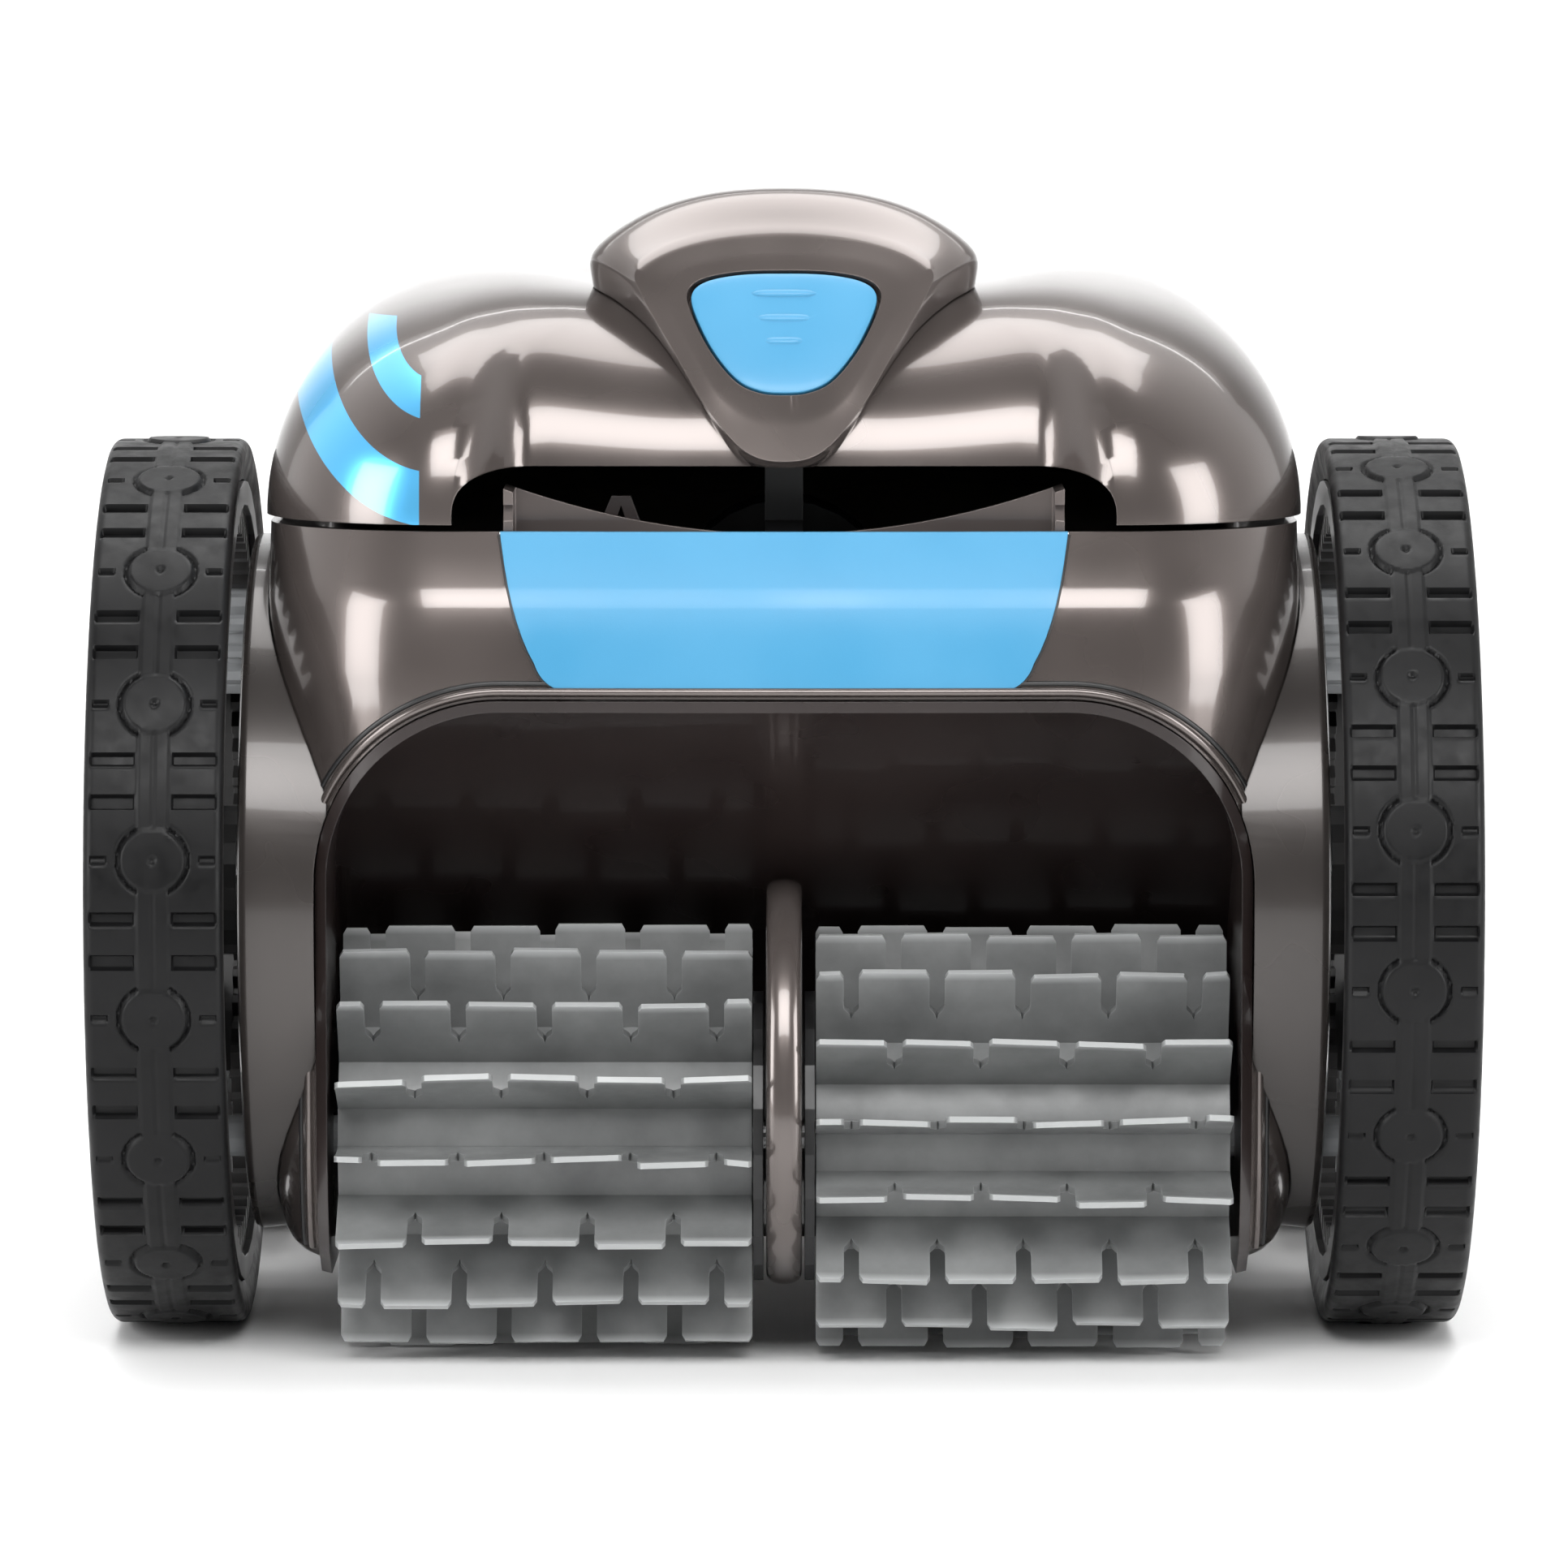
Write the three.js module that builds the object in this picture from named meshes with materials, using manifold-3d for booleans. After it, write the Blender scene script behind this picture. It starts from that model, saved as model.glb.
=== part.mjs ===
// A robotic pool cleaner on four wheels, with two driven lamella brushes in front and a hinged lid.
// Units are millimetres. +Z is up, the front faces -Y, and the origin is on the floor below the centre.
import * as THREE from "three";
import { mergeVertices } from "three/addons/utils/BufferGeometryUtils.js";
import Module from "manifold-3d";

const wasm = await Module();
wasm.setup();

// ---------- driving dimensions ----------
const GAP = 0.35; // left between pieces that touch
const WALL = 3.5; // casing walls
const RUNNING = 0.3; // radial play of turning parts
const BODY_HALF = 162; // half the casing's width, which wheels, brushes, arch and lid follow

// front wheels
const WHEEL_R = 143;
const WHEEL_Y = -82;
const WHEEL_INNER_X = BODY_HALF + 10;
const WHEEL_WIDTH = 43;
const WHEEL_OUTER_X = WHEEL_INNER_X + WHEEL_WIDTH;
const TYRE_THICK = 14;
// rear wheels
const REAR_R = 78;
const REAR_Y = 145;
const REAR_INNER_X = BODY_HALF + 7;
const REAR_WIDTH = 36;
const REAR_TYRE_THICK = 10;

// gear train between each front wheel, its motor and its brush
const GEAR_MODULE = 3;
const RING_RIM = 29; // from the ring gear's pitch circle out to the tread
const RING_TEETH = 2 * Math.round((WHEEL_R - RING_RIM) / GEAR_MODULE);
const BRUSH_TEETH = 12;
const PINION_TEETH = 10;
const GEAR_FACE = 9;
const GEAR_X = WHEEL_INNER_X + 3;
const BRUSH_ANGLE = (-128.66 * Math.PI) / 180; // from the wheel's axis to the brush's, in the Y-Z plane
const RING_PITCH = (2 * Math.PI) / RING_TEETH;
const PINION_ANGLE = BRUSH_ANGLE + 37 * RING_PITCH; // a whole number of teeth round from the brush
const BRUSH_CENTRES = (GEAR_MODULE * (RING_TEETH - BRUSH_TEETH)) / 2;
const PINION_CENTRES = (GEAR_MODULE * (RING_TEETH - PINION_TEETH)) / 2;
const BRUSH_Y = WHEEL_Y + BRUSH_CENTRES * Math.cos(BRUSH_ANGLE);
const BRUSH_Z = WHEEL_R + BRUSH_CENTRES * Math.sin(BRUSH_ANGLE);
const PINION_Y = WHEEL_Y + PINION_CENTRES * Math.cos(PINION_ANGLE);
const PINION_Z = WHEEL_R + PINION_CENTRES * Math.sin(PINION_ANGLE);

// brushes
const BRUSH_FLOOR_GAP = 0.5;
const BRUSH_R = BRUSH_Z - BRUSH_FLOOR_GAP;
const BRUSH_ROOT_R = 40;
const BRUSH_BORE_R = 33;
const BRUSH_INNER_X = 10;
const BRUSH_SIDE = 23; // from a brush's outer end to the casing's side
const BRUSH_LENGTH = BODY_HALF - BRUSH_SIDE - BRUSH_INNER_X;
const BRUSH_OUTER_X = BRUSH_INNER_X + BRUSH_LENGTH;
const BLADE_ROWS = 16;
const BLADE_THICK = 2;
const TAB_GAP = 4.8;
const TABS = 5; // whole tabs on a row; every other row is half a tab over
const TAB_DEPTH = 15;
const BRUSH_SHAFT_R = 6.5;

// casing
const BODY_BOTTOM = 30;
const SEAM_LOW = 118; // between the chassis and the upper shell
const SEAM_TOP = 264; // between the upper shell and the lid, at the front
const SEAM_DROP = 28; // how much lower that seam is at the rear
const SEAM_GAP = 2;
const BODY_FRONT = -196;
const BODY_BACK = 204;
const LID_HALF = BODY_HALF + 1.5;
const LID_TOP = 339;
const LID_THICK = 3;
const APRON_HALF = 84; // half width of the lid's set-back front
const APRON_BACK = 24;

// brush arch
const ARCH_SIDE = 16.5; // from the arch to the casing's side
const ARCH_HALF = BODY_HALF - ARCH_SIDE;
const ARCH_TOP = 211;
const ARCH_CORNER = 58;
const HOOD_WALL = 3.5;
const HOOD_R = 74; // round the brushes
const HOOD_TOP_Y = -188;

// blue front panel
const PANEL_TOP_HALF = 90;
const PANEL_BOTTOM_HALF = 74;
const PANEL_BOTTOM = ARCH_TOP + 2.5;

// lid hinge and latch
const HINGE_R = 7;
const HINGE_Y = BODY_BACK + 14;
const HINGE_Z = SEAM_TOP - SEAM_DROP - 3;
const HINGE_X = 88;
const HINGE_PIN_R = 2.6;
const PLATE_TILT = (34 * Math.PI) / 180; // of the nose plate, from upright
const BUTTON_Y = -147;
const BUTTON_Z = LID_TOP - 16.5;
const BUTTON_TRAVEL = 3;
const BUTTON_THICK = 4;
const PUSH_ROD_R = 3;

// cable gland at the back
const GLAND_R = 9;
const GLAND_Z = 190;

// ---------- materials ----------
const surface = (color, roughness, metalness = 0) =>
  new THREE.MeshStandardMaterial({ color, roughness, metalness });
const SHELL = surface(0x5f5754, 0.22, 0.35);
const DARK_SHELL = surface(0x2a2423, 0.3, 0.2);
const BLUE = surface(0x4fb4ee, 0.4);
const BLADE_GREY = surface(0x6d6f70, 0.45);
const TYRE_BLACK = surface(0x141414, 0.7);
const RIM_GREY = surface(0x3b3d40, 0.45);
const BLACK_PLASTIC = surface(0x17181a, 0.5);
const LIGHT_PLASTIC = surface(0xb9bcbf, 0.5);
const STEEL = surface(0xb8babd, 0.3, 1);
const MESH_GREY = surface(0x9aa0a4, 0.8);

// ---------- solids ----------
// A closed three.js geometry as a manifold-3d solid.
function solid(geometry) {
  const bare = geometry.index ? geometry.toNonIndexed() : geometry.clone();
  bare.deleteAttribute("normal");
  bare.deleteAttribute("uv");
  const merged = mergeVertices(bare, 1e-3);
  return new wasm.Manifold(
    new wasm.Mesh({
      numProp: 3,
      vertProperties: merged.attributes.position.array,
      triVerts: new Uint32Array(merged.index.array),
    }),
  );
}

function geometryOf(shape) {
  const mesh = shape.getMesh();
  const geometry = new THREE.BufferGeometry();
  geometry.setAttribute("position", new THREE.BufferAttribute(mesh.vertProperties, 3));
  geometry.setIndex(new THREE.BufferAttribute(mesh.triVerts, 1));
  geometry.computeVertexNormals();
  return geometry;
}

const moved = (geometry, x, y, z) => geometry.translate(x, y, z);
const box = (x0, x1, y0, y1, z0, z1) =>
  solid(
    new THREE.BoxGeometry(x1 - x0, y1 - y0, z1 - z0).translate((x0 + x1) / 2, (y0 + y1) / 2, (z0 + z1) / 2),
  );

// A cylinder along X from x0 to x1.
const rodX = (radius, x0, x1, y, z, sides = 16) =>
  solid(
    moved(
      new THREE.CylinderGeometry(radius, radius, x1 - x0, sides).rotateZ(Math.PI / 2),
      (x0 + x1) / 2,
      y,
      z,
    ),
  );
const rodY = (radius, y0, y1, x, z, sides = 16) =>
  solid(moved(new THREE.CylinderGeometry(radius, radius, y1 - y0, sides), x, (y0 + y1) / 2, z));
function shapeOf(points) {
  return new THREE.Shape(points.map(([a, b]) => new THREE.Vector2(a, b)));
}

// An outline in the X-Z plane carried along Y from y0 to y1.
function alongY(shape, y0, y1, curveSegments = 8) {
  const geometry = new THREE.ExtrudeGeometry(shape, { depth: y1 - y0, bevelEnabled: false, curveSegments });
  return solid(geometry.rotateX(Math.PI / 2).translate(0, y1, 0));
}

// An outline in the Y-Z plane carried along X from x0 to x1.
function alongX(shape, x0, x1, curveSegments = 8) {
  const geometry = new THREE.ExtrudeGeometry(shape, { depth: x1 - x0, bevelEnabled: false, curveSegments });
  const turn = new THREE.Matrix4().set(0, 0, 1, x0, 1, 0, 0, 0, 0, 1, 0, 0, 0, 0, 0, 1);
  return solid(geometry.applyMatrix4(turn));
}

// A profile of [x, radius] points turned about the X axis. It starts and ends on the axis, or closes.
function turnedX(profile, segments, y = 0, z = 0) {
  const points = profile.map(([x, r]) => new THREE.Vector2(r, x));
  const geometry = new THREE.LatheGeometry(points, segments);
  return solid(geometry.rotateZ(-Math.PI / 2).translate(0, y, z));
}

// The mirror image of a solid, on the other side of the X = 0 plane.
const mirrored = (shape) => shape.mirror([1, 0, 0]);

const FINEST = 0.03; // detail smaller than this is merged away
const root = new THREE.Group();
function add(name, shape, material, parent = root) {
  const mesh = new THREE.Mesh(geometryOf(shape.simplify(FINEST)), material);
  mesh.name = name;
  parent.add(mesh);
  return mesh;
}

// Adds a right-hand piece and its mirror image.
function addPair(name, shape, material) {
  add(name + "_right", shape, material);
  add(name + "_left", mirrored(shape), material);
}

const smooth = (a, b, t) => {
  const s = Math.min(1, Math.max(0, (t - a) / (b - a)));
  return s * s * (3 - 2 * s);
};

// ---------- lofted casings ----------
const CORNER_STEPS = 4;

// A rounded rectangle seen from above, anticlockwise, with a slightly crowned front and back.
function planRing(half, front, back, cornerFront, cornerBack, crown) {
  const points = [];
  const corner = (cx, cy, radius, from) => {
    for (let i = 0; i <= CORNER_STEPS; i++) {
      const angle = from + (i / CORNER_STEPS) * (Math.PI / 2);
      points.push([cx + radius * Math.cos(angle), cy + radius * Math.sin(angle)]);
    }
  };
  const between = (x0, x1, y, count) => {
    for (let i = 1; i < count; i++) points.push([x0 + ((x1 - x0) * i) / count, y]);
  };
  corner(half - cornerFront, front + cornerFront, cornerFront, -Math.PI / 2);
  corner(half - cornerBack, back - cornerBack, cornerBack, 0);
  between(half - cornerBack, cornerBack - half, back, 4);
  corner(cornerBack - half, back - cornerBack, cornerBack, Math.PI / 2);
  corner(cornerFront - half, front + cornerFront, cornerFront, Math.PI);
  between(cornerFront - half, half - cornerFront, front, 6);
  const middle = (front + back) / 2;
  return points.map(([x, y]) => [x, y + Math.sign(y - middle) * crown * (1 - (x / half) ** 2)]);
}

// A closed solid through rings of [x, y, z] points, all with the same number of points.
// "flat" gives the two coordinates in which the end rings are filled.
function loft(rings, flat = ([x, y]) => [x, y]) {
  const count = rings[0].length;
  const positions = rings.flat(2);
  const index = [];
  for (let r = 0; r + 1 < rings.length; r++)
    for (let i = 0; i < count; i++) {
      const [a, b] = [r * count + i, r * count + ((i + 1) % count)];
      index.push(a, b, b + count, a, b + count, a + count);
    }
  const outline = (ring) => ring.map((p) => new THREE.Vector2(...flat(p)));
  const capFaces = (ring, first, down) =>
    THREE.ShapeUtils.triangulateShape(outline(ring), []).forEach(([a, b, c]) =>
      down ? index.push(first + a, first + c, first + b) : index.push(first + a, first + b, first + c),
    );
  capFaces(rings[0], 0, true);
  capFaces(rings.at(-1), (rings.length - 1) * count, false);
  const geometry = new THREE.BufferGeometry();
  geometry.setAttribute("position", new THREE.Float32BufferAttribute(positions, 3));
  geometry.setIndex(index);
  return solid(geometry);
}

// The casing's outline at a height: [height, how far in at the front, back and sides].
const BODY_LEVELS = [
  [BODY_BOTTOM, 16, 20, 12],
  [BODY_BOTTOM + 14, 6, 8, 3],
  [BODY_BOTTOM + 34, 1, 3, 0],
  [SEAM_LOW, 0, 0, 0],
  [ARCH_TOP + 6, 0, 0, 0],
  [SEAM_TOP - 22, 4, 1, 0],
  [SEAM_TOP + 6, 21, 4, 0],
];

// The casing's outer form grown outwards by "grow", from the bottom to above the lid's seam.
function bodyForm(grow) {
  return loft(
    BODY_LEVELS.map(([z, front, back, side], i) => {
      const height = z + (i === 0 ? -grow : 0);
      return planRing(
        BODY_HALF - side + grow,
        BODY_FRONT + front - grow,
        BODY_BACK - back + grow,
        56,
        48,
        6,
      ).map(([x, y]) => [x, y, height]);
    }),
  );
}

// The height of the seam between the upper shell and the lid.
const seamZ = (y) => SEAM_TOP - SEAM_DROP * smooth(10, BODY_BACK, y);

// Everything above the seam, raised by "raise".
function aboveSeam(raise) {
  const steps = 10;
  const points = [];
  for (let i = 0; i <= steps; i++) {
    const y = (i / steps) * (BODY_BACK + 20);
    points.push([y, seamZ(y) + raise]);
  }
  return alongX(
    shapeOf([[-260, SEAM_TOP + raise], ...points, [260, seamZ(BODY_BACK + 20) + raise], [260, 500], [-260, 500]]),
    -200,
    200,
  );
}

// ---------- the lid's form ----------
const LID_ANGLES = [0, 18, 36, 54, 72, 90];
const LID_CLOSING = [0.6, 0.12];

const lidTop = (y) => LID_TOP - 44 * smooth(10, BODY_BACK + 20, y);

// One point of the lid: apron set back between the shoulders, valley behind it.
function lidPoint(x, y, lift, share, drop) {
  const middle = 1 - smooth(APRON_HALF - 6, APRON_HALF + 20, Math.abs(x));
  const frontness = 1 - smooth(-110, -20, y);
  const valley = 7 * (1 - smooth(30, 92, Math.abs(x))) * (1 - smooth(-70, 40, y));
  const low = seamZ(y) - 10;
  const z = low + (lidTop(y) + drop - low) * lift - valley * share;
  return [x, y + APRON_BACK * middle * frontness * (1 - 0.45 * share), z];
}

function lidForm(grow) {
  const rings = [];
  const half = LID_HALF + grow;
  for (const degrees of LID_ANGLES) {
    const angle = (degrees * Math.PI) / 180;
    const inset = 1 - Math.cos(angle);
    const base = 10 / (LID_TOP - SEAM_TOP + 10);
    const lift = degrees === 0 ? 0 : base + (1 - base) * Math.sin(angle);
    const ring = planRing(
      half - 66 * inset,
      BODY_FRONT + 16 - grow + 85 * inset,
      BODY_BACK + 1 + grow - 120 * inset,
      60 + 10 * inset,
      52 + 18 * inset,
      6,
    );
    rings.push(ring.map(([x, y]) => lidPoint(x, y, lift, Math.sin(angle), grow)));
  }
  const last = planRing(half - 66, BODY_FRONT + 101 - grow, BODY_BACK - 119 + grow, 70, 70, 6);
  const centre = 0.5 * (BODY_FRONT + BODY_BACK - 18);
  for (const share of LID_CLOSING)
    rings.push(
      last.map(([x, y]) => {
        const p = lidPoint(x * share, centre + (y - centre) * share, 1, 1, grow);
        return [p[0], p[1], p[2] + 3 * (1 - share)];
      }),
    );
  return loft(rings);
}

// ---------- brush arch ----------
// The arch seen from the front, from below the floor to its top, grown by "grow".
function archOutline(grow) {
  const [half, top, r] = [ARCH_HALF + grow, ARCH_TOP + grow, ARCH_CORNER + grow];
  const shape = new THREE.Shape();
  shape.moveTo(-half, -40).lineTo(half, -40).lineTo(half, top - r);
  shape.absellipse(half - r, top - r, r, r, 0, Math.PI / 2, false);
  shape.absellipse(r - half, top - r, r, r, Math.PI / 2, Math.PI, false);
  return shape;
}

// The space in front of the hood's back wall, seen from the side: a slope, then round the brushes.
function hoodSpace(grow) {
  const radius = HOOD_R + grow;
  const top = [HOOD_TOP_Y, ARCH_TOP - HOOD_WALL];
  const [dy, dz] = [top[0] - BRUSH_Y, top[1] - BRUSH_Z];
  const tangent = Math.atan2(dz, dy) - Math.acos(HOOD_R / Math.hypot(dy, dz));
  const lowest = (-42 * Math.PI) / 180;
  const points = [[-300, 400], [top[0] + grow * 0.7, 400], [top[0] + grow * 0.7, top[1] + grow * 0.7]];
  const steps = 9;
  for (let i = 0; i <= steps; i++) {
    const angle = tangent + ((lowest - tangent) * i) / steps;
    points.push([BRUSH_Y + radius * Math.cos(angle), BRUSH_Z + radius * Math.sin(angle)]);
  }
  const last = points.at(-1);
  return shapeOf([...points, [last[0], -40], [-300, -40]]);
}

const archBlock = (grow) => alongY(archOutline(grow), -300, 0, 5);
const hoodBlock = (grow) => alongX(hoodSpace(grow), -200, 200);
const archCut = archBlock(GAP).intersect(hoodBlock(HOOD_WALL + GAP));

// ---------- chassis, upper shell, hood and front panel ----------
const bodyOuter = bodyForm(0);
const bodyInner = bodyForm(-WALL);

const INTAKE = { half: 70, front: -40, back: -12 }; // the suction slot in the floor
const FLOOR = BODY_BOTTOM + 1.5;

// Bores through one side wall for the axles and the two gear shafts.
function sideBores() {
  const [inner, outer] = [BODY_HALF - 62, BODY_HALF + 38];
  return rodX(BRUSH_SHAFT_R + 1.2, inner, outer, BRUSH_Y, BRUSH_Z, 16)
    .add(rodX(6, inner, outer, PINION_Y, PINION_Z, 16))
    .add(rodX(9 + GAP, inner, outer, WHEEL_Y, WHEEL_R, 20))
    .add(rodX(7 + GAP, inner, outer, REAR_Y, REAR_R, 20));
}
const bores = sideBores().add(mirrored(sideBores()));

const intakeCut = box(-INTAKE.half, INTAKE.half, INTAKE.front, INTAKE.back, 0, 60);
const ROOM_HALF = BODY_HALF + 18; // past the casing on both sides
const chassisRoom = bodyInner.intersect(box(-ROOM_HALF, ROOM_HALF, BRUSH_Y + HOOD_R + 12, 260, FLOOR + WALL, 300));
const chassis = bodyOuter
  .intersect(box(-200, 200, -300, 300, 0, SEAM_LOW))
  .subtract(chassisRoom)
  .subtract(archCut)
  .subtract(intakeCut)
  .subtract(bores);
add("chassis", chassis, SHELL);

// The front panel's outline, a trapezoid with rounded lower corners.
function panelOutline(grow) {
  const shape = new THREE.Shape();
  const [top, low] = [PANEL_TOP_HALF + grow, PANEL_BOTTOM_HALF + grow];
  const base = PANEL_BOTTOM - grow;
  shape.moveTo(-low + 10, base).lineTo(low - 10, base);
  shape.quadraticCurveTo(low, base, low + 3, base + 9);
  shape.quadraticCurveTo(top - 3, base + 26, top, SEAM_TOP + 20);
  shape.lineTo(-top, SEAM_TOP + 20);
  shape.quadraticCurveTo(-top + 3, base + 26, -low - 3, base + 9);
  shape.quadraticCurveTo(-low, base, -low + 10, base);
  return shape;
}
const MOUTH_BACK = -120; // the mouth and the panel lie in front of this
const panelCut = (grow) => alongY(panelOutline(grow), -300, MOUTH_BACK, 5);

const KNUCKLE_HALF = 2.4; // of the lid's knuckle; the casing's two stand either side of it
function lidKnuckle(x) {
  return rodX(HINGE_R, x - KNUCKLE_HALF, x + KNUCKLE_HALF, HINGE_Y, HINGE_Z)
    .add(box(x - KNUCKLE_HALF, x + KNUCKLE_HALF, HINGE_Y - 16, HINGE_Y, HINGE_Z + 4.5, HINGE_Z + HINGE_R))
    .subtract(rodX(HINGE_PIN_R + RUNNING, x - 9, x + 9, HINGE_Y, HINGE_Z, 16));
}
function shellKnuckles(x) {
  const outer = KNUCKLE_HALF + 6;
  const clear = KNUCKLE_HALF + GAP + 0.2;
  return rodX(HINGE_R, x - outer, x + outer, HINGE_Y, HINGE_Z)
    .add(box(x - outer, x + outer, HINGE_Y - 13, HINGE_Y, HINGE_Z - HINGE_R, HINGE_Z + 1))
    .subtract(box(x - clear, x + clear, HINGE_Y - 9, HINGE_Y + 20, HINGE_Z - 20, HINGE_Z + 20))
    .subtract(rodX(HINGE_PIN_R + GAP, x - 20, x + 20, HINGE_Y, HINGE_Z, 16));
}

const underLid = aboveSeam(-SEAM_GAP);
const shellRoom = bodyInner.intersect(box(-ROOM_HALF, ROOM_HALF, -300, 300, 0, 300));
const upperShell = bodyOuter
  .intersect(box(-200, 200, -300, 300, SEAM_LOW + GAP, 300))
  .subtract(shellRoom)
  .subtract(archCut)
  .subtract(panelCut(GAP))
  .subtract(underLid)
  .add(shellKnuckles(HINGE_X))
  .add(shellKnuckles(-HINGE_X))
  .subtract(bores)
  .subtract(rodY(GLAND_R + GAP, BODY_BACK - 20, BODY_BACK + 20, 0, GLAND_Z));
add("upper_shell", upperShell, SHELL);

const panel = bodyForm(0.8)
  .subtract(bodyForm(-3))
  .intersect(panelCut(0))
  .subtract(underLid)
  .intersect(box(-200, 200, -300, MOUTH_BACK, 0, 300));
add("front_panel", panel, BLUE);

const shaftHoles = rodX(BRUSH_SHAFT_R + 1.2, -200, 200, BRUSH_Y, BRUSH_Z, 16);
const hood = archBlock(0)
  .intersect(hoodBlock(HOOD_WALL))
  .intersect(bodyForm(3))
  .subtract(archBlock(-HOOD_WALL).intersect(hoodBlock(0)))
  .intersect(box(-200, 200, -300, 100, 24, 300))
  .subtract(shaftHoles);
add("brush_hood", hood, DARK_SHELL);

// The fin between the brushes, which holds their inner ends.
const STRUT_HALF = 5.6;
function strutOutline() {
  const shape = new THREE.Shape();
  shape.moveTo(-118, 146);
  shape.bezierCurveTo(-170, 160, -197, 120, -198, 78);
  shape.bezierCurveTo(-198, 40, -172, 22, -140, 21);
  shape.lineTo(-60, 21).lineTo(-60, 146);
  return shape;
}
const STRUT_PIN_R = 5;
const strut = alongX(strutOutline(), -STRUT_HALF, STRUT_HALF, 6)
  .intersect(hoodBlock(-GAP))
  .subtract(rodX(STRUT_PIN_R + GAP, -50, 50, BRUSH_Y, BRUSH_Z, 16));
add("centre_strut", strut, SHELL);
add("strut_pin", rodX(STRUT_PIN_R, -26, 26, BRUSH_Y, BRUSH_Z, 16), STEEL);

// ---------- side covers: round housings that face into the front wheels ----------
const COVER_R = 112;
const COVER_X = BODY_HALF + 7.5;
const sideCover = turnedX(
  [[BODY_HALF - 20, 0], [BODY_HALF - 20, COVER_R - 3], [COVER_X - 3, COVER_R], [COVER_X, COVER_R - 3], [COVER_X, 0]],
  32,
  WHEEL_Y,
  WHEEL_R,
)
  .subtract(bodyForm(GAP).add(underCoverHood()))
  .subtract(bores);

// The arch's own side wall, kept clear of the covers.
function underCoverHood() {
  return archBlock(GAP).intersect(hoodBlock(HOOD_WALL + GAP));
}
addPair("side_cover", sideCover.intersect(box(0, 300, -300, 300, 18, 400)), BLACK_PLASTIC);

// ---------- lid ----------
const POCKET = { y: -60, z: LID_TOP + 8, rx: 56, ry: 44, rz: 40 }; // the finger recess behind the handle

function ellipsoid({ y, z, rx, ry, rz }, grow, sides = 16) {
  const ball = new THREE.SphereGeometry(1, sides, sides / 2).rotateX(Math.PI / 2);
  return solid(ball.scale(rx + grow, ry + grow, rz + grow).translate(0, y, z));
}

const MOUTH = { half: 103, top: SEAM_TOP + 17, radius: 14 };
function mouthOutline() {
  const { half, top, radius } = MOUTH;
  const shape = new THREE.Shape();
  shape.moveTo(-half, 200).lineTo(half, 200).lineTo(half, top - radius);
  shape.quadraticCurveTo(half, top, half - 1.6 * radius, top);
  shape.lineTo(1.6 * radius - half, top);
  shape.quadraticCurveTo(-half, top, -half, top - radius);
  return shape;
}

// The way that the button travels, and the middle of its push rod.
const PRESS = [Math.cos(PLATE_TILT), -Math.sin(PLATE_TILT)];
const ROD_Z = BUTTON_Z - 4.5;
const ROD_START = [BUTTON_Y + (ROD_Z - BUTTON_Z) * Math.tan(PLATE_TILT), ROD_Z];
function alongPress(radius, from, to, sides = 12) {
  const length = to - from;
  const rod = new THREE.CylinderGeometry(radius, radius, length, sides).rotateX(-PLATE_TILT);
  const middle = (from + to) / 2;
  return solid(rod.translate(0, ROD_START[0] + PRESS[0] * middle, ROD_START[1] + PRESS[1] * middle));
}

// ---------- handle: a shield that rises from the nose to a grip ----------
const LOOP_POINTS = 26;

// A closed loop, seen from the front, through [x, z, y] points of its right half, bottom to top.
// Their heights are from the lid's top.
function shieldRing(rightHalf) {
  const right = rightHalf.map(([x, z, y]) => new THREE.Vector3(x, y, LID_TOP + z));
  const left = right.slice(1, -1).reverse().map((p) => new THREE.Vector3(-p.x, p.y, p.z));
  const curve = new THREE.CatmullRomCurve3([...right, ...left], true, "centripetal");
  return curve.getPoints(LOOP_POINTS).slice(0, LOOP_POINTS).map((p) => [p.x, p.y, p.z]);
}
const plateY = (z) => BUTTON_Y + (z - BUTTON_Z) * Math.tan(PLATE_TILT);
const onPlate = (points, back) => points.map(([x, z]) => [x, z, plateY(LID_TOP + z) + back]);
const frontal = ([x, , z]) => [x, z];

const BUTTON_EDGE = [
  [0, -36], [8, -35.2], [15.5, -31.5], [23.5, -22], [29.5, -10], [30, -4], [25, -0.4], [14, 1.6],
  [0, 2],
];
const BEVEL_EDGE = [
  [0, -42], [10, -41], [19.5, -35.5], [28, -23.5], [35.5, -8], [35.5, -1.5], [29, 2.6],
  [16, 4.8], [0, 5.4],
];
const CREASE = [
  [0, -56], [12, -53], [24, -40], [35, -22], [44.5, -6], [46.5, 2], [37, 8.5], [21, 12.6],
  [0, 14],
];
const SILHOUETTE = [
  [0, -59.5, -163], [14.5, -55.5, -160], [27.5, -38.5, -146], [40, -19.5, -134],
  [51.5, -4, -122], [60.5, 6, -112], [46, 18, -108], [25, 25, -107], [0, 27, -107],
];
const BACK_EDGE = [
  [0, -63, -120], [14, -61, -120], [26, -51, -116], [40, -35, -108], [55, -23, -96],
  [60, -5, -88], [46, 10, -84], [25, 17.5, -82], [0, 19.5, -82],
];

const shield = loft(
  [
    shieldRing(BACK_EDGE),
    shieldRing(SILHOUETTE),
    shieldRing(onPlate(CREASE, 1.5)),
    shieldRing(onPlate(BEVEL_EDGE, 0)),
  ],
  frontal,
);

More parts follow.
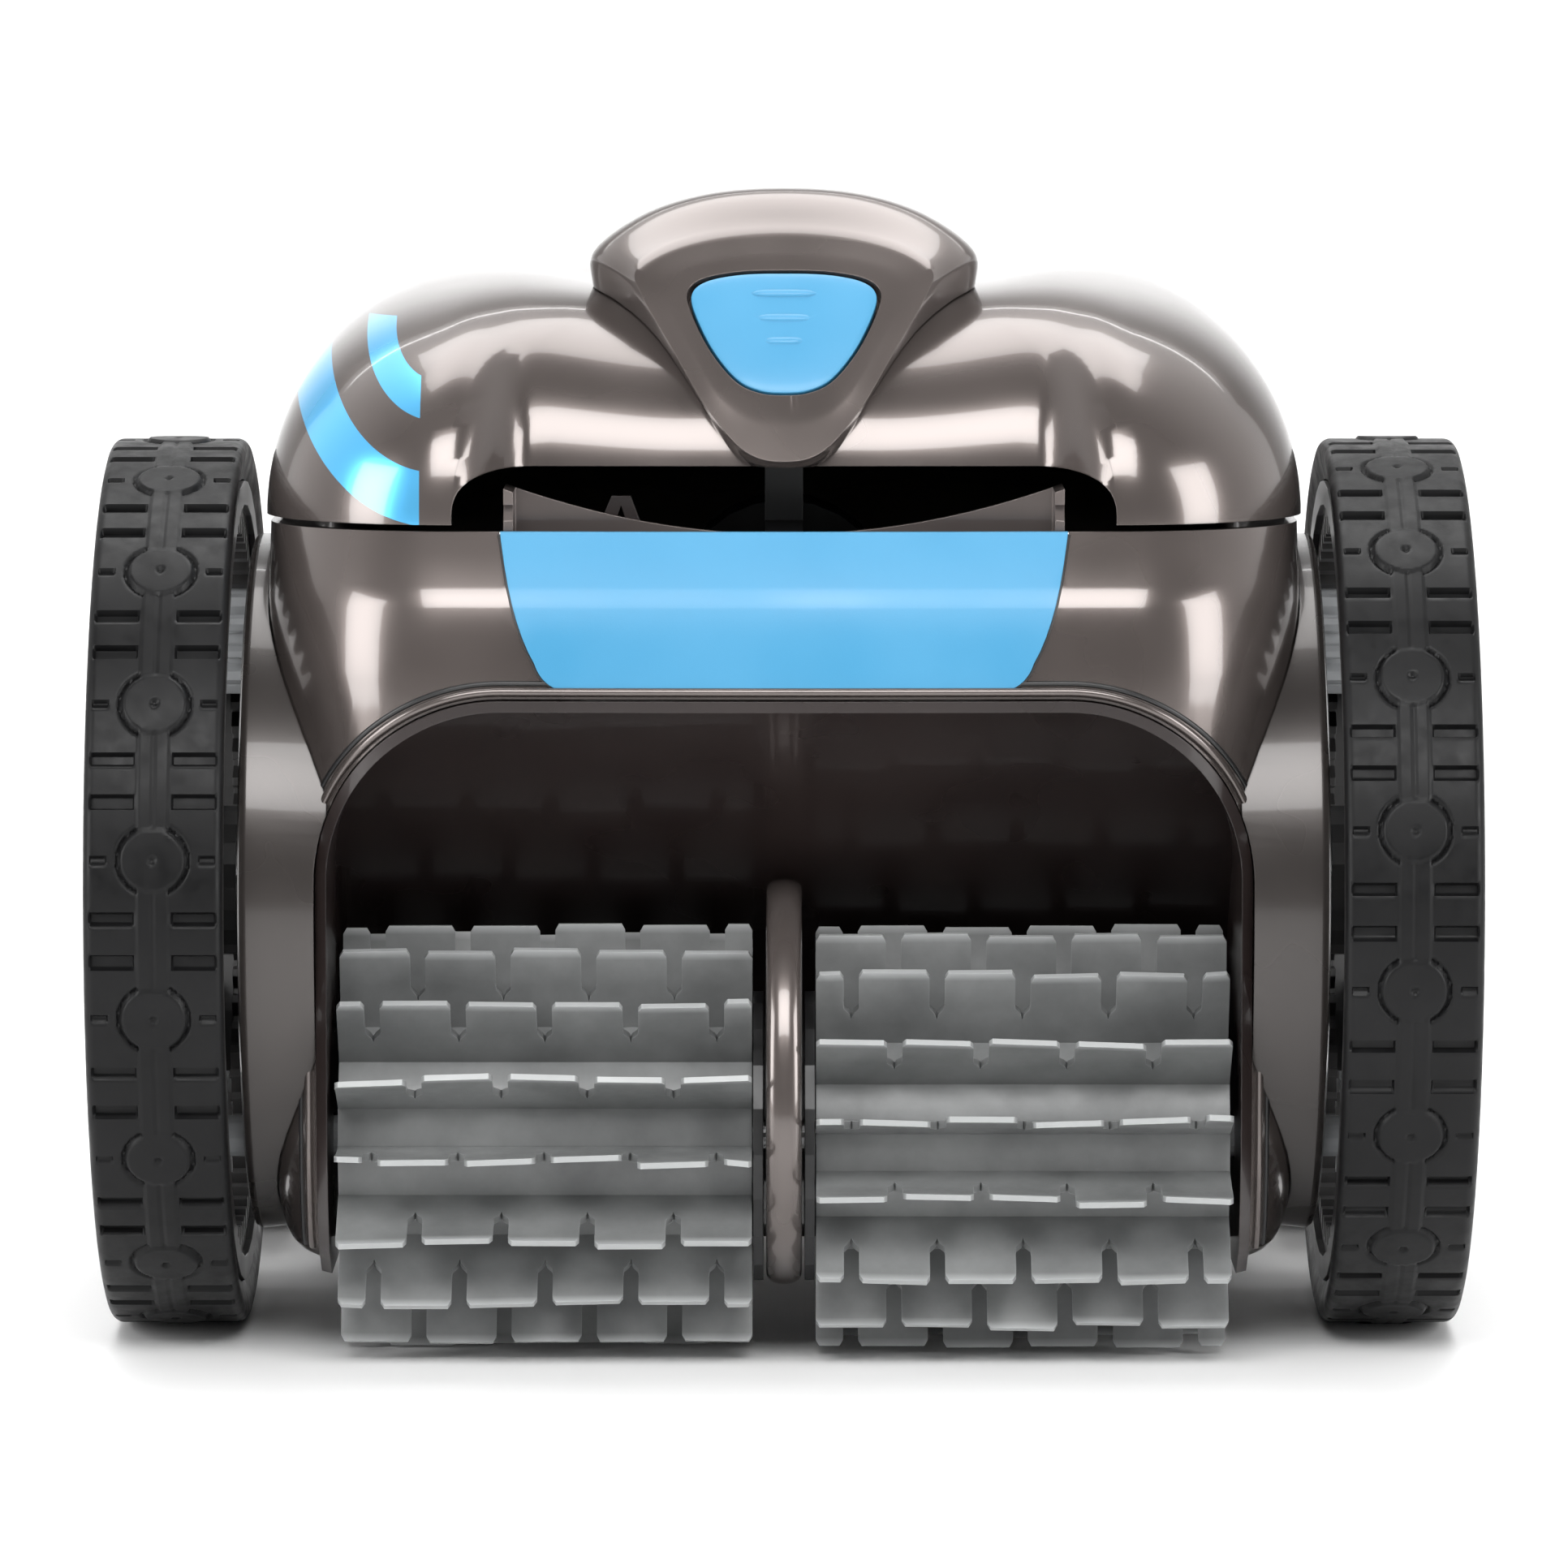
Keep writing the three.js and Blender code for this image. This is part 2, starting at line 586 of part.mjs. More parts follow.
// The button's outline carried along its press direction, from "from" to "to" behind the plate.
function buttonPrism(scale, from, to, crown = 0) {
  const ring = shieldRing(onPlate(BUTTON_EDGE, 0));
  const at = (distance, share) =>
    ring.map(([x, y, z]) => [
      x * share,
      BUTTON_Y + (y - BUTTON_Y) * share + PRESS[0] * distance,
      BUTTON_Z + (z - BUTTON_Z) * share + PRESS[1] * distance,
    ]);
  const rings = [at(to, scale), at(from, scale)];
  if (crown) rings.push(at(from - crown, scale * 0.86), at(from - crown * 1.3, scale * 0.4));
  return loft(rings, frontal);
}

// The button's pocket in the plate, and the push rod's bore behind it.
const POCKET_DEPTH = BUTTON_THICK + BUTTON_TRAVEL + 0.6;
function buttonPocket() {
  return buttonPrism(1, -20, POCKET_DEPTH);
}
function rodBore() {
  return alongPress(PUSH_ROD_R + 0.6, -30, 60);
}

const lidRoom = lidForm(-LID_THICK).subtract(ellipsoid(POCKET, LID_THICK));
const lid = lidForm(0)
  .subtract(lidRoom)
  .subtract(ellipsoid(POCKET, 0))
  .intersect(aboveSeam(0))
  .subtract(alongY(mouthOutline(), -300, MOUTH_BACK, 5))
  .add(lidKnuckle(HINGE_X))
  .add(lidKnuckle(-HINGE_X))
  .subtract(buttonPocket())
  .subtract(rodBore());
add("lid", lid, SHELL);

const GRIP_SPACE = { y: -76, z: LID_TOP - 11, rx: 49, ry: 37, rz: 21 };
const handle = shield
  .subtract(ellipsoid(GRIP_SPACE, 0))
  .subtract(buttonPocket())
  .subtract(rodBore())
  .subtract(lidForm(GAP))
  .subtract(alongY(mouthOutline(), -300, MOUTH_BACK, 5))
  .decompose()
  .sort((a, b) => b.volume() - a.volume())[0];
add("handle", handle, SHELL);

// ---------- latch ----------
const ROD_END = 25;
const button = buttonPrism(0.955, 0.5, BUTTON_THICK, 1.6).add(alongPress(PUSH_ROD_R, BUTTON_THICK - 1, ROD_END));
add("latch_button", button, BLUE);

const LATCH_PIN_R = 2;
const LEVER = { y: -121, z: LID_TOP - 24, low: SEAM_TOP - 10, half: 6 };
const leverOutline = shapeOf([
  [LEVER.y + 4, LEVER.z - 3],
  [LEVER.y + 3, LEVER.z + 3.4],
  [LEVER.y - 3, LEVER.z + 3.4],
  [LEVER.y - 6, LEVER.z - 5],
  [LEVER.y - 7, LEVER.low + 8],
  [LEVER.y - 22, LEVER.low + 3],
  [LEVER.y - 27, LEVER.low + 3],
  [LEVER.y - 27, LEVER.low],
  [LEVER.y - 18, LEVER.low - 3],
  [LEVER.y - 1, LEVER.low],
]);
const lever = alongX(leverOutline, -LEVER.half, LEVER.half);
add("latch_lever", lever.subtract(rodX(LATCH_PIN_R + RUNNING, -20, 20, LEVER.y, LEVER.z, 12)), BLACK_PLASTIC);
add("latch_pin", rodX(LATCH_PIN_R, -11, 11, LEVER.y, LEVER.z, 12), STEEL);

// Two cheeks and a web under the lid carry the lever's pin.
const cheek = box(LEVER.half + 0.6, LEVER.half + 3.6, LEVER.y - 11, LEVER.y + 9, LEVER.z - 7, LEVER.z + 30);
const bracket = cheek
  .add(mirrored(cheek))
  .add(box(-LEVER.half - 3.6, LEVER.half + 3.6, LEVER.y + 6, LEVER.y + 9, LEVER.z - 7, LEVER.z + 30))
  .intersect(lidForm(-LID_THICK - GAP))
  .subtract(rodX(LATCH_PIN_R + GAP, -20, 20, LEVER.y, LEVER.z, 12));
add("latch_bracket", bracket, BLACK_PLASTIC);
for (const [side, sign] of [["right", 1], ["left", -1]])
  add(
    "hinge_pin_" + side,
    rodX(HINGE_PIN_R, sign * HINGE_X - 8, sign * HINGE_X + 8, HINGE_Y, HINGE_Z, 16),
    STEEL,
  );

// ---------- gears ----------
const PRESSURE_ANGLE = (20 * Math.PI) / 180;
const involute = (angle) => Math.tan(angle) - angle;

// A spur gear's outline in the Y-Z plane with a tooth centred on the angle "from". Each tooth is
// "slack" thinner than half a pitch. The flanks pass through involute points at the given radii.
function gearOutline(teeth, radii, slack, from, y, z) {
  const pitchR = (GEAR_MODULE * teeth) / 2;
  const baseR = pitchR * Math.cos(PRESSURE_ANGLE);
  const halfAt = (r) => {
    const atPitch = Math.PI / (2 * teeth) - slack / (2 * pitchR);
    const here = r > baseR ? involute(Math.acos(baseR / r)) : 0;
    return atPitch + involute(PRESSURE_ANGLE) - here;
  };
  const points = [];
  for (let tooth = 0; tooth < teeth; tooth++) {
    const middle = from + (tooth * 2 * Math.PI) / teeth;
    const flank = radii.map((r) => [r, halfAt(r)]);
    for (const [r, half] of flank) points.push([y + r * Math.cos(middle - half), z + r * Math.sin(middle - half)]);
    for (const [r, half] of flank.reverse())
      points.push([y + r * Math.cos(middle + half), z + r * Math.sin(middle + half)]);
  }
  return shapeOf(points);
}
function spurGear(teeth, from, y, z) {
  const pitchR = (GEAR_MODULE * teeth) / 2;
  const radii = [pitchR - 1.2 * GEAR_MODULE, pitchR, pitchR + 0.85 * GEAR_MODULE];
  return alongX(gearOutline(teeth, radii, 0.25, from, y, z), GEAR_X + RUNNING, GEAR_X + GEAR_FACE - RUNNING);
}

// ---------- front wheels ----------
const RING_R = (GEAR_MODULE * RING_TEETH) / 2;
const BARREL_R = WHEEL_R - TYRE_THICK;
const AXLE_R = 8.4;
const BUSH_R = 11.5;
const HUB_R = 24;
const WEB_X = WHEEL_INNER_X + 17; // the spokes' inner face
const HUB_END = WHEEL_OUTER_X - 7.5;
const WEB_THICK = 6;
const SPOKES = 6;

function ringTeeth() {
  const radii = [RING_R - 0.8 * GEAR_MODULE, RING_R + 1.2 * GEAR_MODULE];
  return gearOutline(RING_TEETH, radii, -0.25, BRUSH_ANGLE, WHEEL_Y, WHEEL_R);
}
const tube = (outer, inner, x0, x1, y, z, sides) =>
  rodX(outer, x0, x1, y, z, sides).subtract(rodX(inner, x0 - 1, x1 + 1, y, z, sides));

// Spokes of a wheel about (y, z): wedges between its hub and its barrel.
function spokes(count, x0, x1, hubR, rimR, width, y, z) {
  let all = box(x0, x1, y - width / 2, y + width / 2, z + hubR - 2, z + rimR + 1);
  const one = all;
  for (let i = 1; i < count; i++) {
    const turn = (i * 360) / count;
    all = all.add(one.translate(0, -y, -z).rotate([turn, 0, 0]).translate(0, y, z));
  }
  return all;
}
const rimFront = tube(BARREL_R - GAP, BARREL_R - 8, WHEEL_INNER_X + 1, WHEEL_OUTER_X - 2.5, WHEEL_Y, WHEEL_R, 40)
  .add(
    rodX(BARREL_R - 4, GEAR_X, GEAR_X + GEAR_FACE, WHEEL_Y, WHEEL_R, 40)
      .subtract(alongX(ringTeeth(), GEAR_X - 1, GEAR_X + GEAR_FACE + 1)),
  )
  .add(rodX(HUB_R, GEAR_X, HUB_END, WHEEL_Y, WHEEL_R, 20))
  .add(spokes(SPOKES, WEB_X, WEB_X + WEB_THICK, HUB_R, BARREL_R - 8, 34, WHEEL_Y, WHEEL_R))
  .subtract(rodX(BUSH_R + GAP, BODY_HALF, WHEEL_OUTER_X + 5, WHEEL_Y, WHEEL_R, 20));

// A tyre's section: [x, radius] round its tread, shoulders and bead.
function tyre(radius, thick, x0, x1, y, z, segments) {
  const inner = radius - thick;
  const profile = [
    [x0 + 2, inner],
    [x0, radius - 6],
    [x0 + 5, radius],
    [x1 - 5, radius],
    [x1, radius - 6],
    [x1 - 2, inner],
    [x0 + 2, inner],
  ];
  return turnedX(profile, segments, y, z);
}
addPair("rim_front", rimFront, RIM_GREY);
const tyreFront = tyre(WHEEL_R, TYRE_THICK, WHEEL_INNER_X, WHEEL_OUTER_X, WHEEL_Y, WHEEL_R, 40);
addPair("tyre_front", tyreFront, TYRE_BLACK);

const AXLE_END = HUB_END - 1;
const AXLE_ROOT = BODY_HALF - 12;
const axleFront = rodX(AXLE_R, AXLE_ROOT, AXLE_END, WHEEL_Y, WHEEL_R, 20).add(
  rodX(15, AXLE_ROOT, BODY_HALF - WALL - GAP, WHEEL_Y, WHEEL_R, 20),
);
addPair("axle_front", axleFront, STEEL);
addPair("bush_front", tube(BUSH_R, AXLE_R + 0.6, GEAR_X + 1, AXLE_END, WHEEL_Y, WHEEL_R, 20), LIGHT_PLASTIC);
addPair("hubcap_front", rodX(HUB_R - 2, HUB_END + GAP, WHEEL_OUTER_X - 3, WHEEL_Y, WHEEL_R, 20), BLACK_PLASTIC);

// ---------- rear wheels ----------
const REAR_AXLE_R = 6.4;
const REAR_HUB_R = 17;
const REAR_OUTER_X = REAR_INNER_X + REAR_WIDTH;
const REAR_BARREL_R = REAR_R - REAR_TYRE_THICK;
const rimRear = tube(REAR_BARREL_R - GAP, REAR_BARREL_R - 7, REAR_INNER_X + 1, REAR_OUTER_X - 1, REAR_Y, REAR_R, 28)
  .add(rodX(REAR_HUB_R, REAR_INNER_X + 1, REAR_OUTER_X - 3, REAR_Y, REAR_R, 20))
  .add(spokes(SPOKES, REAR_INNER_X + 15, REAR_INNER_X + 21, REAR_HUB_R, REAR_BARREL_R - 7, 22, REAR_Y, REAR_R))
  .subtract(rodX(REAR_AXLE_R + 0.6, BODY_HALF - 12, REAR_OUTER_X + 10, REAR_Y, REAR_R, 20));
addPair("rim_rear", rimRear, RIM_GREY);
const tyreRear = tyre(REAR_R, REAR_TYRE_THICK, REAR_INNER_X, REAR_OUTER_X, REAR_Y, REAR_R, 32);
addPair("tyre_rear", tyreRear, TYRE_BLACK);
const REAR_AXLE_ROOT = BODY_HALF - 22;
const axleRear = rodX(REAR_AXLE_R, REAR_AXLE_ROOT, REAR_OUTER_X - 4, REAR_Y, REAR_R, 20).add(
  rodX(12, REAR_AXLE_ROOT, BODY_HALF - WALL - 5, REAR_Y, REAR_R, 20),
);
addPair("axle_rear", axleRear, STEEL);
const rearCap = rodX(REAR_HUB_R - 1, REAR_OUTER_X - 3 + GAP, REAR_OUTER_X + 1, REAR_Y, REAR_R, 20);
addPair("hubcap_rear", rearCap, BLACK_PLASTIC);

// ---------- brushes ----------
const TAB_WIDTH = (BRUSH_LENGTH - (TABS - 1) * TAB_GAP) / TABS;

// One blade from its root to its tip, standing up in Z over x = 0 to the brush's length.
function bladeComb(offset) {
  const pitch = TAB_WIDTH + TAB_GAP;
  const points = [[0, BRUSH_ROOT_R - 3], [BRUSH_LENGTH, BRUSH_ROOT_R - 3], [BRUSH_LENGTH, BRUSH_R]];
  for (let k = TABS + 1; k >= 0; k--) {
    const start = pitch * (k + offset) - TAB_GAP;
    if (start < 1 || start + TAB_GAP > BRUSH_LENGTH - 1) continue;
    points.push([start + TAB_GAP, BRUSH_R], [start + TAB_GAP, BRUSH_R - TAB_DEPTH]);
    points.push([start, BRUSH_R - TAB_DEPTH], [start, BRUSH_R]);
  }
  points.push([0, BRUSH_R]);
  return alongY(shapeOf(points), -BLADE_THICK / 2, BLADE_THICK / 2);
}

// A brush's rubber skin with its first row of blades at "phase" degrees above the front.
function brushSkin(phase) {
  const rowAngle = 360 / BLADE_ROWS;
  // The sleeve has one flat under each blade.
  const flats = BRUSH_ROOT_R / Math.cos(Math.PI / BLADE_ROWS);
  let all = rodX(flats, 0, BRUSH_LENGTH, 0, 0, BLADE_ROWS).rotate([rowAngle / 2 - phase, 0, 0]);
  for (let row = 0; row < BLADE_ROWS; row++) {
    const comb = bladeComb(row % 2 ? 0 : 0.5);
    all = all.add(comb.rotate([90 - phase - row * rowAngle, 0, 0]));
  }
  return all.subtract(rodX(BRUSH_BORE_R + 4, -1, BRUSH_LENGTH + 1, 0, 0, 20));
}
const atBrush = (shape, x) => shape.translate(x, BRUSH_Y, BRUSH_Z);
add("brush_skin_left", atBrush(brushSkin(0), -BRUSH_OUTER_X), BLADE_GREY);
add("brush_skin_right", atBrush(brushSkin(180 / BLADE_ROWS), BRUSH_INNER_X), BLADE_GREY);

const CORE_R = BRUSH_BORE_R + 4 - GAP;
const DISC_R = 46;
// The core is a drum with a web at each end: the inner one runs on the strut's pin.
const brushCore = tube(CORE_R, BRUSH_BORE_R, BRUSH_INNER_X, BRUSH_OUTER_X, BRUSH_Y, BRUSH_Z, 20)
  .add(rodX(BRUSH_BORE_R + 1, BRUSH_INNER_X + 2, BRUSH_INNER_X + 8, BRUSH_Y, BRUSH_Z, 20))
  .add(rodX(11, BRUSH_INNER_X + 2, BRUSH_INNER_X + 20, BRUSH_Y, BRUSH_Z, 20))
  .add(rodX(BRUSH_BORE_R + 1, BRUSH_OUTER_X - 8, BRUSH_OUTER_X - 2, BRUSH_Y, BRUSH_Z, 20))
  .subtract(rodX(STRUT_PIN_R + 0.5, 0, 60, BRUSH_Y, BRUSH_Z, 16))
  .subtract(rodX(BRUSH_SHAFT_R + GAP, BRUSH_OUTER_X - 20, BRUSH_OUTER_X + 20, BRUSH_Y, BRUSH_Z, 16));
addPair("brush_core", brushCore, DARK_SHELL);
addPair("brush_disc", tube(DISC_R, 12, STRUT_HALF + 0.9, BRUSH_INNER_X - GAP, BRUSH_Y, BRUSH_Z, 20), BLACK_PLASTIC);

const brushGear = spurGear(BRUSH_TEETH, BRUSH_ANGLE, BRUSH_Y, BRUSH_Z).add(
  rodX(BRUSH_SHAFT_R, BRUSH_OUTER_X - 12, GEAR_X + 1, BRUSH_Y, BRUSH_Z, 16),
);
addPair("brush_gear", brushGear, LIGHT_PLASTIC);

// ---------- gear motors and pinions ----------
const MOTOR_R = 19;
const PINION_SHAFT_R = 5;
const MOTOR_FACE = BODY_HALF - WALL - GAP;
const pinion = spurGear(PINION_TEETH, PINION_ANGLE, PINION_Y, PINION_Z).add(
  rodX(PINION_SHAFT_R, MOTOR_FACE - 12, GEAR_X + 1, PINION_Y, PINION_Z, 16),
);
addPair("pinion", pinion, LIGHT_PLASTIC);
const MOTOR_MIDDLE = BODY_HALF - 44; // where the gearbox meets the motor
const gearMotor = rodX(MOTOR_R, MOTOR_MIDDLE, MOTOR_FACE, PINION_Y, PINION_Z, 20)
  .add(rodX(MOTOR_R - 4, MOTOR_MIDDLE - 52, MOTOR_MIDDLE + 2, PINION_Y, PINION_Z, 20))
  .subtract(rodX(PINION_SHAFT_R + 0.5, MOTOR_FACE - 14, MOTOR_FACE + 60, PINION_Y, PINION_Z, 16));
addPair("gear_motor", gearMotor, BLACK_PLASTIC);

// ---------- outlet duct and pump ----------
const DUCT = { half: 87, low: 216, front: -179, back: -150, wall: 3 };
const PUMP_Z = 232;
const NOZZLE_R = 13.5;
const NOZZLE_BORE = 11;

// The duct seen from the front; its top edge sags between two high ends.
function ductOutline(inset) {
  const shape = new THREE.Shape();
  const half = DUCT.half - inset;
  shape.moveTo(-half + 14, DUCT.low + inset).lineTo(half - 14, DUCT.low + inset);
  shape.lineTo(half, DUCT.low + 30).lineTo(half, 275);
  shape.quadraticCurveTo(0, 243.5, -half, 275);
  shape.lineTo(-half, DUCT.low + 30);
  return shape;
}
const panelZone = bodyForm(10).subtract(bodyForm(-3 - GAP));
const duct = alongY(ductOutline(0), DUCT.front, DUCT.back, 8)
  .subtract(alongY(ductOutline(DUCT.wall), DUCT.front - 10, DUCT.back - DUCT.wall, 8).translate(0, 0, 0.02))
  .subtract(panelZone)
  .subtract(rodY(NOZZLE_R + GAP, -200, -100, 0, PUMP_Z, 20));
add("outlet_duct", duct, DARK_SHELL);

// A small clip that stands on the duct's back wall.
const clipOutline = shapeOf([[-62, 252], [-57, 252], [-51, 268], [-46, 252], [-41, 252], [-48, 271], [-54, 271]]);
add("duct_clip", alongY(clipOutline, DUCT.back + GAP, DUCT.back + 5), LIGHT_PLASTIC);

const PUMP = { front: -106, back: -62, r: 35, wall: 3 };
const nozzle = rodY(NOZZLE_R, -152, PUMP.front + 2, 0, PUMP_Z, 20);
const pump = rodY(PUMP.r, PUMP.front, PUMP.back, 0, PUMP_Z, 24)
  .add(nozzle)
  .subtract(rodY(PUMP.r - PUMP.wall, PUMP.front + PUMP.wall, PUMP.back - PUMP.wall, 0, PUMP_Z, 24))
  .subtract(rodY(NOZZLE_BORE, -160, PUMP.front + 10, 0, PUMP_Z, 20))
  .subtract(rodY(5, PUMP.back - 10, PUMP.back + 10, 0, PUMP_Z, 16))
  .subtract(box(-16, 16, PUMP.front + 8, PUMP.back - 8, PUMP_Z - PUMP.r - 2, PUMP_Z - 20));
add("pump_housing", pump, BLACK_PLASTIC);

const BLADES = 5;
const IMPELLER = { front: PUMP.front + 10, back: PUMP.back - 8, r: 28 };
function impellerShape() {
  let all = rodY(7, IMPELLER.front, IMPELLER.back, 0, PUMP_Z, 16).add(
    rodY(IMPELLER.r, IMPELLER.back - 3, IMPELLER.back, 0, PUMP_Z, 20),
  );
  const blade = box(4, IMPELLER.r - 1, IMPELLER.front + 2, IMPELLER.back - 2, -1.2, 1.2);
  for (let i = 0; i < BLADES; i++) all = all.add(blade.rotate([0, (i * 360) / BLADES, 0]).translate(0, 0, PUMP_Z));
  return all.add(rodY(4, IMPELLER.back - 4, PUMP.back + 12, 0, PUMP_Z, 16));
}
add("impeller", impellerShape(), BLUE);
const pumpMotor = rodY(22, PUMP.back + GAP, 10, 0, PUMP_Z, 24).subtract(
  rodY(4.6, PUMP.back - 1, PUMP.back + 14, 0, PUMP_Z, 16),
);
add("pump_motor", pumpMotor, BLACK_PLASTIC);

// ---------- filter ----------
const FILTER = { half: 118, front: -46, back: 172, low: FLOOR + WALL + GAP, high: 182, wall: 3 };
const FILTER_CORNER = 12; // width of the frame's uprights
function filterBox(inset, low, high) {
  return box(-FILTER.half + inset, FILTER.half - inset, FILTER.front + inset, FILTER.back - inset, low, high);
}

// The flap over the throat, hinged on a rod at its rear edge between two ears of the frame.
const FLAP = { y: INTAKE.back + 5, z: FILTER.low + FILTER.wall + 5, r: 3, half: INTAKE.half + 3 };
function flapEar(side) {
  const [near, far] = [FLAP.half + 0.6, FLAP.half + 4];
  return box(
    Math.min(side * near, side * far),
    Math.max(side * near, side * far),
    FLAP.y - 6,
    FLAP.y + 6,
    FILTER.low + 1,
    FLAP.z + 6,
  ).subtract(rodX(FLAP.r + 0.4, -100, 100, FLAP.y, FLAP.z));
}
const flap = box(-FLAP.half, FLAP.half, INTAKE.front - 1.5, FLAP.y, FLAP.z - 1, FLAP.z + 1.5).add(
  rodX(FLAP.r, -FLAP.half - 5, FLAP.half + 5, FLAP.y, FLAP.z),
);
add("inlet_flap", flap, BLACK_PLASTIC);

const throat = box(-INTAKE.half, INTAKE.half, INTAKE.front, INTAKE.back, 0, 60);
const sideWindow = box(-200, 200, FILTER.front + FILTER_CORNER, FILTER.back - FILTER_CORNER, 60, 168);
const endWindow = box(-FILTER.half + FILTER_CORNER, FILTER.half - FILTER_CORNER, -200, 300, 60, 168);
const filterFrame = filterBox(0, FILTER.low, FILTER.high)
  .subtract(filterBox(FILTER.wall, FILTER.low + FILTER.wall, FILTER.high + 1))
  .subtract(sideWindow)
  .subtract(endWindow)
  .subtract(throat)
  .add(flapEar(1))
  .add(flapEar(-1));
add("filter_frame", filterFrame, LIGHT_PLASTIC);

const meshInset = FILTER.wall + GAP;
const filterMesh = filterBox(meshInset, 52, 176).subtract(filterBox(meshInset + 1.2, 50, 178));
add("filter_mesh", filterMesh, MESH_GREY);

const COVER_LOW = FILTER.high + GAP;
const PIVOT = { y: 96, z: COVER_LOW + 10, r: 2.4, x: 34 };
const filterCover = filterBox(0, COVER_LOW, COVER_LOW + 3)
  .add(box(PIVOT.x - 8, PIVOT.x - 4, PIVOT.y - 6, PIVOT.y + 6, COVER_LOW + 2, PIVOT.z + 5))
  .add(box(4 - PIVOT.x, 8 - PIVOT.x, PIVOT.y - 6, PIVOT.y + 6, COVER_LOW + 2, PIVOT.z + 5))
  .subtract(rodX(PIVOT.r + GAP, -60, 60, PIVOT.y, PIVOT.z, 16));
add("filter_cover", filterCover, LIGHT_PLASTIC);

// The bail lies forward on the cover and swings up about its two pivots.
const bailOutline = shapeOf([
  [-PIVOT.x - 4, PIVOT.y + 5],
  [-PIVOT.x - 4, PIVOT.y - 58],
  [PIVOT.x + 4, PIVOT.y - 58],
  [PIVOT.x + 4, PIVOT.y + 5],
  [PIVOT.x - 2.5, PIVOT.y + 5],
  [PIVOT.x - 2.5, PIVOT.y - 48],
  [2.5 - PIVOT.x, PIVOT.y - 48],
  [2.5 - PIVOT.x, PIVOT.y + 5],
]);
const bail = solid(
  new THREE.ExtrudeGeometry(bailOutline, { depth: 7, bevelEnabled: false }).translate(0, 0, PIVOT.z - 3.5),
)
  .add(rodX(PIVOT.r, PIVOT.x - 9, PIVOT.x, PIVOT.y, PIVOT.z, 16))
  .add(rodX(PIVOT.r, -PIVOT.x, 9 - PIVOT.x, PIVOT.y, PIVOT.z, 16));
add("filter_handle", bail, BLUE);

// ---------- cable gland ----------
const glandFace = BODY_BACK + 7;
add(
  "cable_gland",
  rodY(GLAND_R, BODY_BACK - 12, glandFace + 1, 0, GLAND_Z)
    .add(rodY(GLAND_R + 5, glandFace, glandFace + 5, 0, GLAND_Z))
    .subtract(rodY(4, 0, 300, 0, GLAND_Z, 16)),
  BLACK_PLASTIC,
);

export default root;
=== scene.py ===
import math
import random

import bmesh
import bpy
import numpy as np
from mathutils import Matrix, Vector


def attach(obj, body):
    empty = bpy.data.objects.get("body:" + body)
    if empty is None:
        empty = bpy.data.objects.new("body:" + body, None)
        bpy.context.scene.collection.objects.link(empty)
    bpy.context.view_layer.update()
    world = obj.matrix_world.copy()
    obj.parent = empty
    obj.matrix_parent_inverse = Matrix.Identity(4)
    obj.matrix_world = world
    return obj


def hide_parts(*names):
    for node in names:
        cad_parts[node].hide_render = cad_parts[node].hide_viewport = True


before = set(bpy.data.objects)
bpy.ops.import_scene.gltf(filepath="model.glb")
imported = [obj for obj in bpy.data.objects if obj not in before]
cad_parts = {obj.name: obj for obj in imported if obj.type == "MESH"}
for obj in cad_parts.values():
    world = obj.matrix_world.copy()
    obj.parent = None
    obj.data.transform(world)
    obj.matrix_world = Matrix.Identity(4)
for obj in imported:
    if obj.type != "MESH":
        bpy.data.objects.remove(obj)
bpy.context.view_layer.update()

MM = 0.001
rng = random.Random(7)

# ---------- camera ----------
EYE = Vector((0.0, -2.982, 0.448))
TARGET = Vector((0.0, -0.082, 0.174))
LENS = 208.0
camera_data = bpy.data.cameras.new("camera")
camera_data.lens = LENS
camera_data.sensor_width = 36.0
camera_data.clip_start = 0.05
camera = bpy.data.objects.new("camera", camera_data)
camera.location = EYE
camera.rotation_euler = (TARGET - EYE).to_track_quat("-Z", "Y").to_euler()
bpy.context.scene.collection.objects.link(camera)
bpy.context.scene.camera = camera


# ---------- mesh helpers ----------
def make_object(name, verts, faces, sharp=35.0):
    mesh = bpy.data.meshes.new(name)
    mesh.from_pydata([tuple(v) for v in verts], [], faces)
    mesh.validate()
    work = bmesh.new()
    work.from_mesh(mesh)
    bmesh.ops.recalc_face_normals(work, faces=work.faces)
    work.to_mesh(mesh)
    work.free()
    obj = bpy.data.objects.new(name, mesh)
    bpy.context.scene.collection.objects.link(obj)
    smooth_by_angle(obj, sharp)
    return obj


def smooth_by_angle(obj, degrees):
    obj.data.shade_smooth()
    obj.data.set_sharp_from_angle(angle=math.radians(degrees))


def apply_modifiers(obj):
    graph = bpy.context.evaluated_depsgraph_get()
    old = obj.data
    obj.data = bpy.data.meshes.new_from_object(obj.evaluated_get(graph))
    obj.modifiers.clear()
    bpy.data.meshes.remove(old)


def combine(obj, other, how):
    """obj becomes obj DIFFERENCE, INTERSECT or UNION other, and other goes."""
    modifier = obj.modifiers.new("combine", "BOOLEAN")
    modifier.operation = how
    modifier.solver = "EXACT"
    modifier.object = other
    apply_modifiers(obj)
    old = other.data
    bpy.data.objects.remove(other)
    bpy.data.meshes.remove(old)
    return obj


def cut(obj, other):
    return combine(obj, other, "DIFFERENCE")


